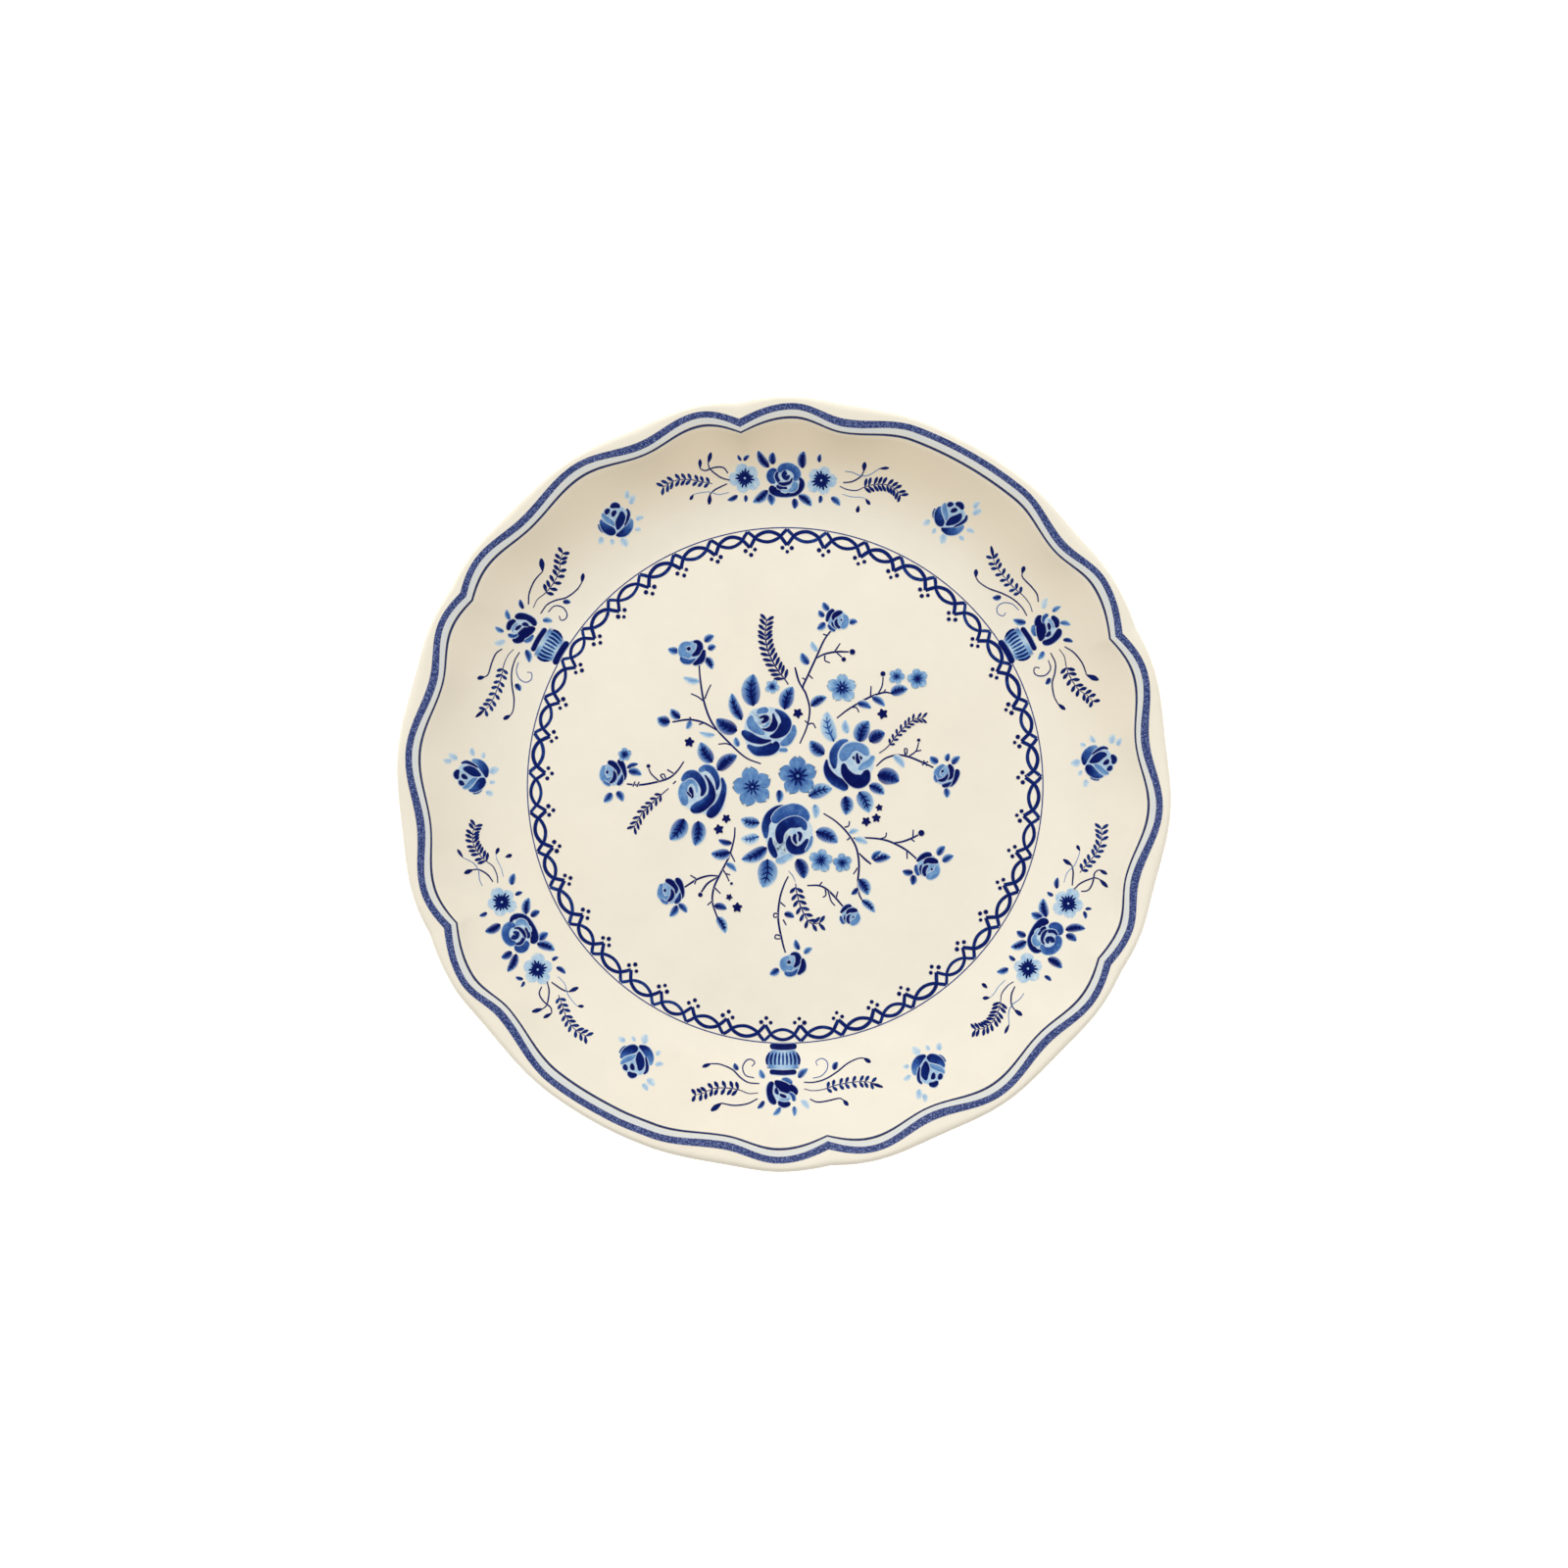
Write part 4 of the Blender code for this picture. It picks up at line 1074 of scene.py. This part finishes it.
GARLAND_TENDRILS = read_table("""
.58 .1 1.5, 10.3 106.8, 11.9 108.4, 13.4 111.9, 13.5 114, 12.6 117.4;
.58 .1 1.3, 10.4 109.3, 11.1 111.5, 12.6 112.1, 14.3 111.8, 15.1 112.9, 14.7 116;
.58 .1 1.5, 10.9 105.8, 13.3 104.7, 14.5 103.6, 15.2 100.2;
.3 .6 1.2, 10.9 102.8, 12.9 102.8, 14.6 104.4, 16.6 105, 17.6 105, 18.5 103.6;
.58 .1 1.6, -10.9 106.3, -12.5 107.3, -13.8 109.6, -14.1 111.6, -13.9 114.8;
.34 .5 1.1, -10.8 110.2, -12.1 110.4, -13.8 109.9, -15.2 110.9, -16.6 113.9, -18.2 115.2;
.45 .2 0, -10.4 104.9, -11.8 104.3, -13.5 104.6, -14.6 105.8;
.28 .6 1.3, -11.2 102.4, -13 102.2, -14.8 102.8, -15.8 102.7, -16.9 101.2
""")
GARLAND_SPRIGS = read_table("""
9 2.3 2.9 .22 52 1.2 .06 .4, 13.6 106.9, 16 108.9, 17.6 110.4, 20 111.5, 22.4 110.9;
10 3 2.7 .16 58 1.2 .1 .4, -14.3 105.6, -16.2 107.9, -18.5 109.4, -20.4 109.1, -21.9 107.7
""")


def rayed_blossom(drawing, centre, radius, star, turn):
    """A very pale blossom with a dark rayed heart and a light dot."""
    drawing.blossom(centre, radius, (0.76, 0.92), 0.6, 2, turn)
    for i in range(15):
        reach = star * (0.8 + 0.42 * abs(math.sin(2.3 * i + 0.6)))
        tip = at(centre, turn + 24 * i, reach)
        drawing.stroke([centre, tip], 0.85, 0.1, 4, (1.2, 1.0, 0.3), edge=0.2)
    drawing.blob(centre, star * 0.55, 0.04, 7, edge=0.06, bleed=0.2)
    drawing.blob(centre, 0.36, 0.95, 8, bleed=0.4)


def garland(index, middle):
    drawing = RimPrint(middle)
    spot = drawing.spot
    drawing.flower(spot((0, 105.6)), middle - 90, 0.97, ((0, 0.2, 4.8), (1.5, -1.5, 4.2)), GARLAND_ROSE)
    rayed_blossom(drawing, spot((7.5, 106.75)), 5.2, 2.8, middle + 20)
    rayed_blossom(drawing, spot((-6.8, 105.9)), 5.0, 2.9, middle + 50)
    drawing.leaves(GARLAND_LEAVES)
    drawing.tendrils(GARLAND_TENDRILS)
    drawing.drop(spot((-14.8, 99.8)), spot((-14.9, 97.4)), 1.4, 0.05)
    drawing.ferns(GARLAND_SPRIGS)
    drawing.piece(f"garland_{index}", f"garland_decal_{index}")


# The rim rose opens towards +y.
BUD_ROSE = read_table("""
.3 .2, -6.1 -1.2 .6, -5.4 -2.9 1, -4.3 -4.2 .7;
.55 .3 .1 .06, -5.1 .4 .9, -4.3 -1.8 2.5, -2.5 -3.4 3.3, -.3 -4.6 2.2;
.06 .04 .7 .62, -.2 -5.4 .9, 2.4 -4.6 2.7, 4.5 -2.6 2.6, 5.4 .2 1.3;
.06 .1 .16 .2, .4 -3.5 .8, 1.1 -1.4 2.8, 2.1 .8 2.8, 2.2 2.9 1.2;
.1 .12, 3 -2.3 .6, 4.2 .2 1.1, 4.6 2.2 1.1, 3.9 3.7 .6;
.55 .66, -4.6 2.4 .8, -3.6 .7 1.8, -1.7 -.8 1.8, -.5 -2.1 .8;
.1 .06, -1.6 4.3 1.2, .1 5 2, 1.8 4.3 1.2;
.14 .08, -3.3 1.9 1, -2.8 3 1.8, -1.9 3.8 1;
.04 .02, -1 1 .9, -.5 2.3 1.7, .4 3.1 1
""")
# Its leaves: angle from its middle, distance of the base and of the tip, and width.
BUD_LEAVES = (
    (227, 7.6, 10.2, 1.9), (254, 6.8, 8.8, 1.4), (283, 6.6, 10.0, 2.4), (330, 7.4, 9.4, 1.5),
    (357, 6.9, 9.8, 1.6), (43, 7.4, 10.8, 2.1), (58, 8.2, 11.0, 1.7),
)
# Each rim rose: its place round the rim and from the middle, the direction it opens to, and
# whether it is drawn the other way round.
BUD_PLACES = (
    (4, 109.5, 10, True), (58, 109.2, 52, False), (122.5, 108.4, 93, False),
    (178.5, 108.4, 175, False), (241.8, 108.8, 255, True), (297, 111.2, 287, False),
)


def mirrored(strokes):
    """The same strokes with left and right exchanged."""
    return [
        (tones[1::-1] + tones[:1:-1], *((-x, y, width) for x, y, width in points))
        for tones, *points in strokes
    ]


def rosebud(index, middle, radius, opening, flipped):
    drawing = RimPrint(middle)
    centre = drawing.spot((0, radius))
    turn = opening - 90
    strokes = mirrored(BUD_ROSE) if flipped else BUD_ROSE
    drawing.flower(centre, turn, 1, ((0, -0.2, 5.3),), strokes, weight=1.02, pale=0.84)
    for angle, near, far, width in BUD_LEAVES:
        side = 180 - angle if flipped else angle
        drawing.leaf(at(centre, side + turn, near), at(centre, side + turn + 6, far), width, "faint")
    drawing.piece(f"rosebud_{index}", f"rose_decal_{index}")


LINE_RADIUS = 124.75
LINE_WIDTH = 0.8
BAND_RADIUS = 128.3
BAND_WIDTH = 2.55


def stripe(name, radius, width, tone, material, node, soft):
    """A printed stripe that follows the scallops."""
    half = width / 2
    radii = np.tile(radius + np.array([-half - soft, -half + soft, 0, half - soft, half + soft]), SEGMENTS)
    turn = np.repeat(AROUND, 5)
    out, up = bend(radii, turn, front_height(radii) + PRINT_LIFT)
    points = np.column_stack([at((0, 0), turn, out), up])
    index = np.arange(SEGMENTS * 5).reshape(SEGMENTS, 5)
    index = np.vstack([index, index[:1]])
    faces = np.stack([index[:-1, :-1], index[:-1, 1:], index[1:, 1:], index[1:, :-1]], axis=-1)
    covers = np.tile([0.0, 1.0, 1.0, 1.0, 0.0], SEGMENTS)
    attributes = (("tone", np.full(len(points), tone)), ("cover", covers))
    make_piece(name, points, faces.reshape(-1, 4).tolist(), material, node, attributes)


# ---------------------------------------------------------------- putting it together

# Radii between which a pale blue wash lies on the glaze, inside the band.
WASH_FROM = 125.0
WASH_TO = 127.6


def plate():
    coat = front_path() + under_path() + [foot_side(True, 2.2), foot_side(True, FOOT_GLAZE_LINE)]
    points, faces, radii = turned(coat + inset(coat, GLAZE)[::-1])
    front = np.arange(len(points)) < SEGMENTS * len(front_path())
    wash = np.clip((radii - WASH_FROM) / 0.5, 0, 1) * np.clip((WASH_TO - radii) / 0.5, 0, 1) * front
    # Painted shade: a warm, darker tint on the wall, strongest on the +y side, which faces away from the
    # key light.
    azimuth = np.arctan2(points[:, 1], points[:, 0])
    shaded_wall = np.clip((radii - 96) / 20, 0, 1) * np.clip((127 - radii) / 4, 0, 1)
    painted_shade_warmth = 0.95 * shaded_wall * np.clip(0.5 + 0.5 * np.sin(azimuth), 0, 1) ** 2.6 * front
    looks = (("wash", wash), ("painted_shade_warmth", painted_shade_warmth))
    make_piece("glaze", points, faces, GLAZED, "glaze_coat", looks, 50)

    coat = [foot_side(False, FOOT_GLAZE_LINE), foot_side(False, 2.4)]
    coat += [(FOOT_INNER - FOOT_FLARE - 0.5, BASE_HEIGHT - 0.05), (70, BASE_HEIGHT), (40, BASE_HEIGHT)]
    coat += [(10, BASE_HEIGHT), (0, BASE_HEIGHT)]
    points, faces, _ = turned(inset(coat, GLAZE)[::-1] + coat)
    make_piece("base_coat", points, faces, BASE, "base_glaze", (), 50)

    body = inset(front_path() + under_path(), GLAZE)
    foot = [
        foot_side(True, 2.2), foot_side(True, 1.0), foot_side(True, 0.35), (FOOT_OUTER - 0.4, 0.0),
        (FOOT_INNER + 0.4, 0.0), foot_side(False, 0.35), foot_side(False, 1.0), foot_side(False, 2.2),
    ]
    foot = [(r + (-1 if r > 83 else 1) * (0.12 if z > 0.5 else 0), z) for r, z in foot]
    rest = [(FOOT_INNER - FOOT_FLARE, BASE_HEIGHT + GLAZE), (0, BASE_HEIGHT + GLAZE)]
    points, faces, _ = turned(body + foot + rest)
    make_piece("clay", points, faces, CLAY, "clay_body", (), 50)


make_camera()
make_studio()
GLAZED = glaze_material()
BASE = base_material()
CLAY = clay_material()
COBALT = print_material()
BAND = band_material("cobalt_band", linear((50, 64, 116)), linear((35, 46, 96)), linear((114, 128, 172)))
LINE = band_material("cobalt_line", linear((40, 50, 92)), linear((30, 38, 80)), linear((60, 72, 116)))

plate()
bouquet()
chain()
for number, (angle, out) in enumerate(URN_MIDDLES, 1):
    urn(number, angle, out)
for number, angle in enumerate(GARLAND_MIDDLES, 1):
    garland(number, angle)
for number, place in enumerate(BUD_PLACES, 1):
    rosebud(number, *place)
stripe("wide_band", BAND_RADIUS, BAND_WIDTH, 0.3, BAND, "wide_edge_band", 0.12)
stripe("thin_line", LINE_RADIUS, LINE_WIDTH, 0.2, LINE, "thin_edge_line", 0.12)
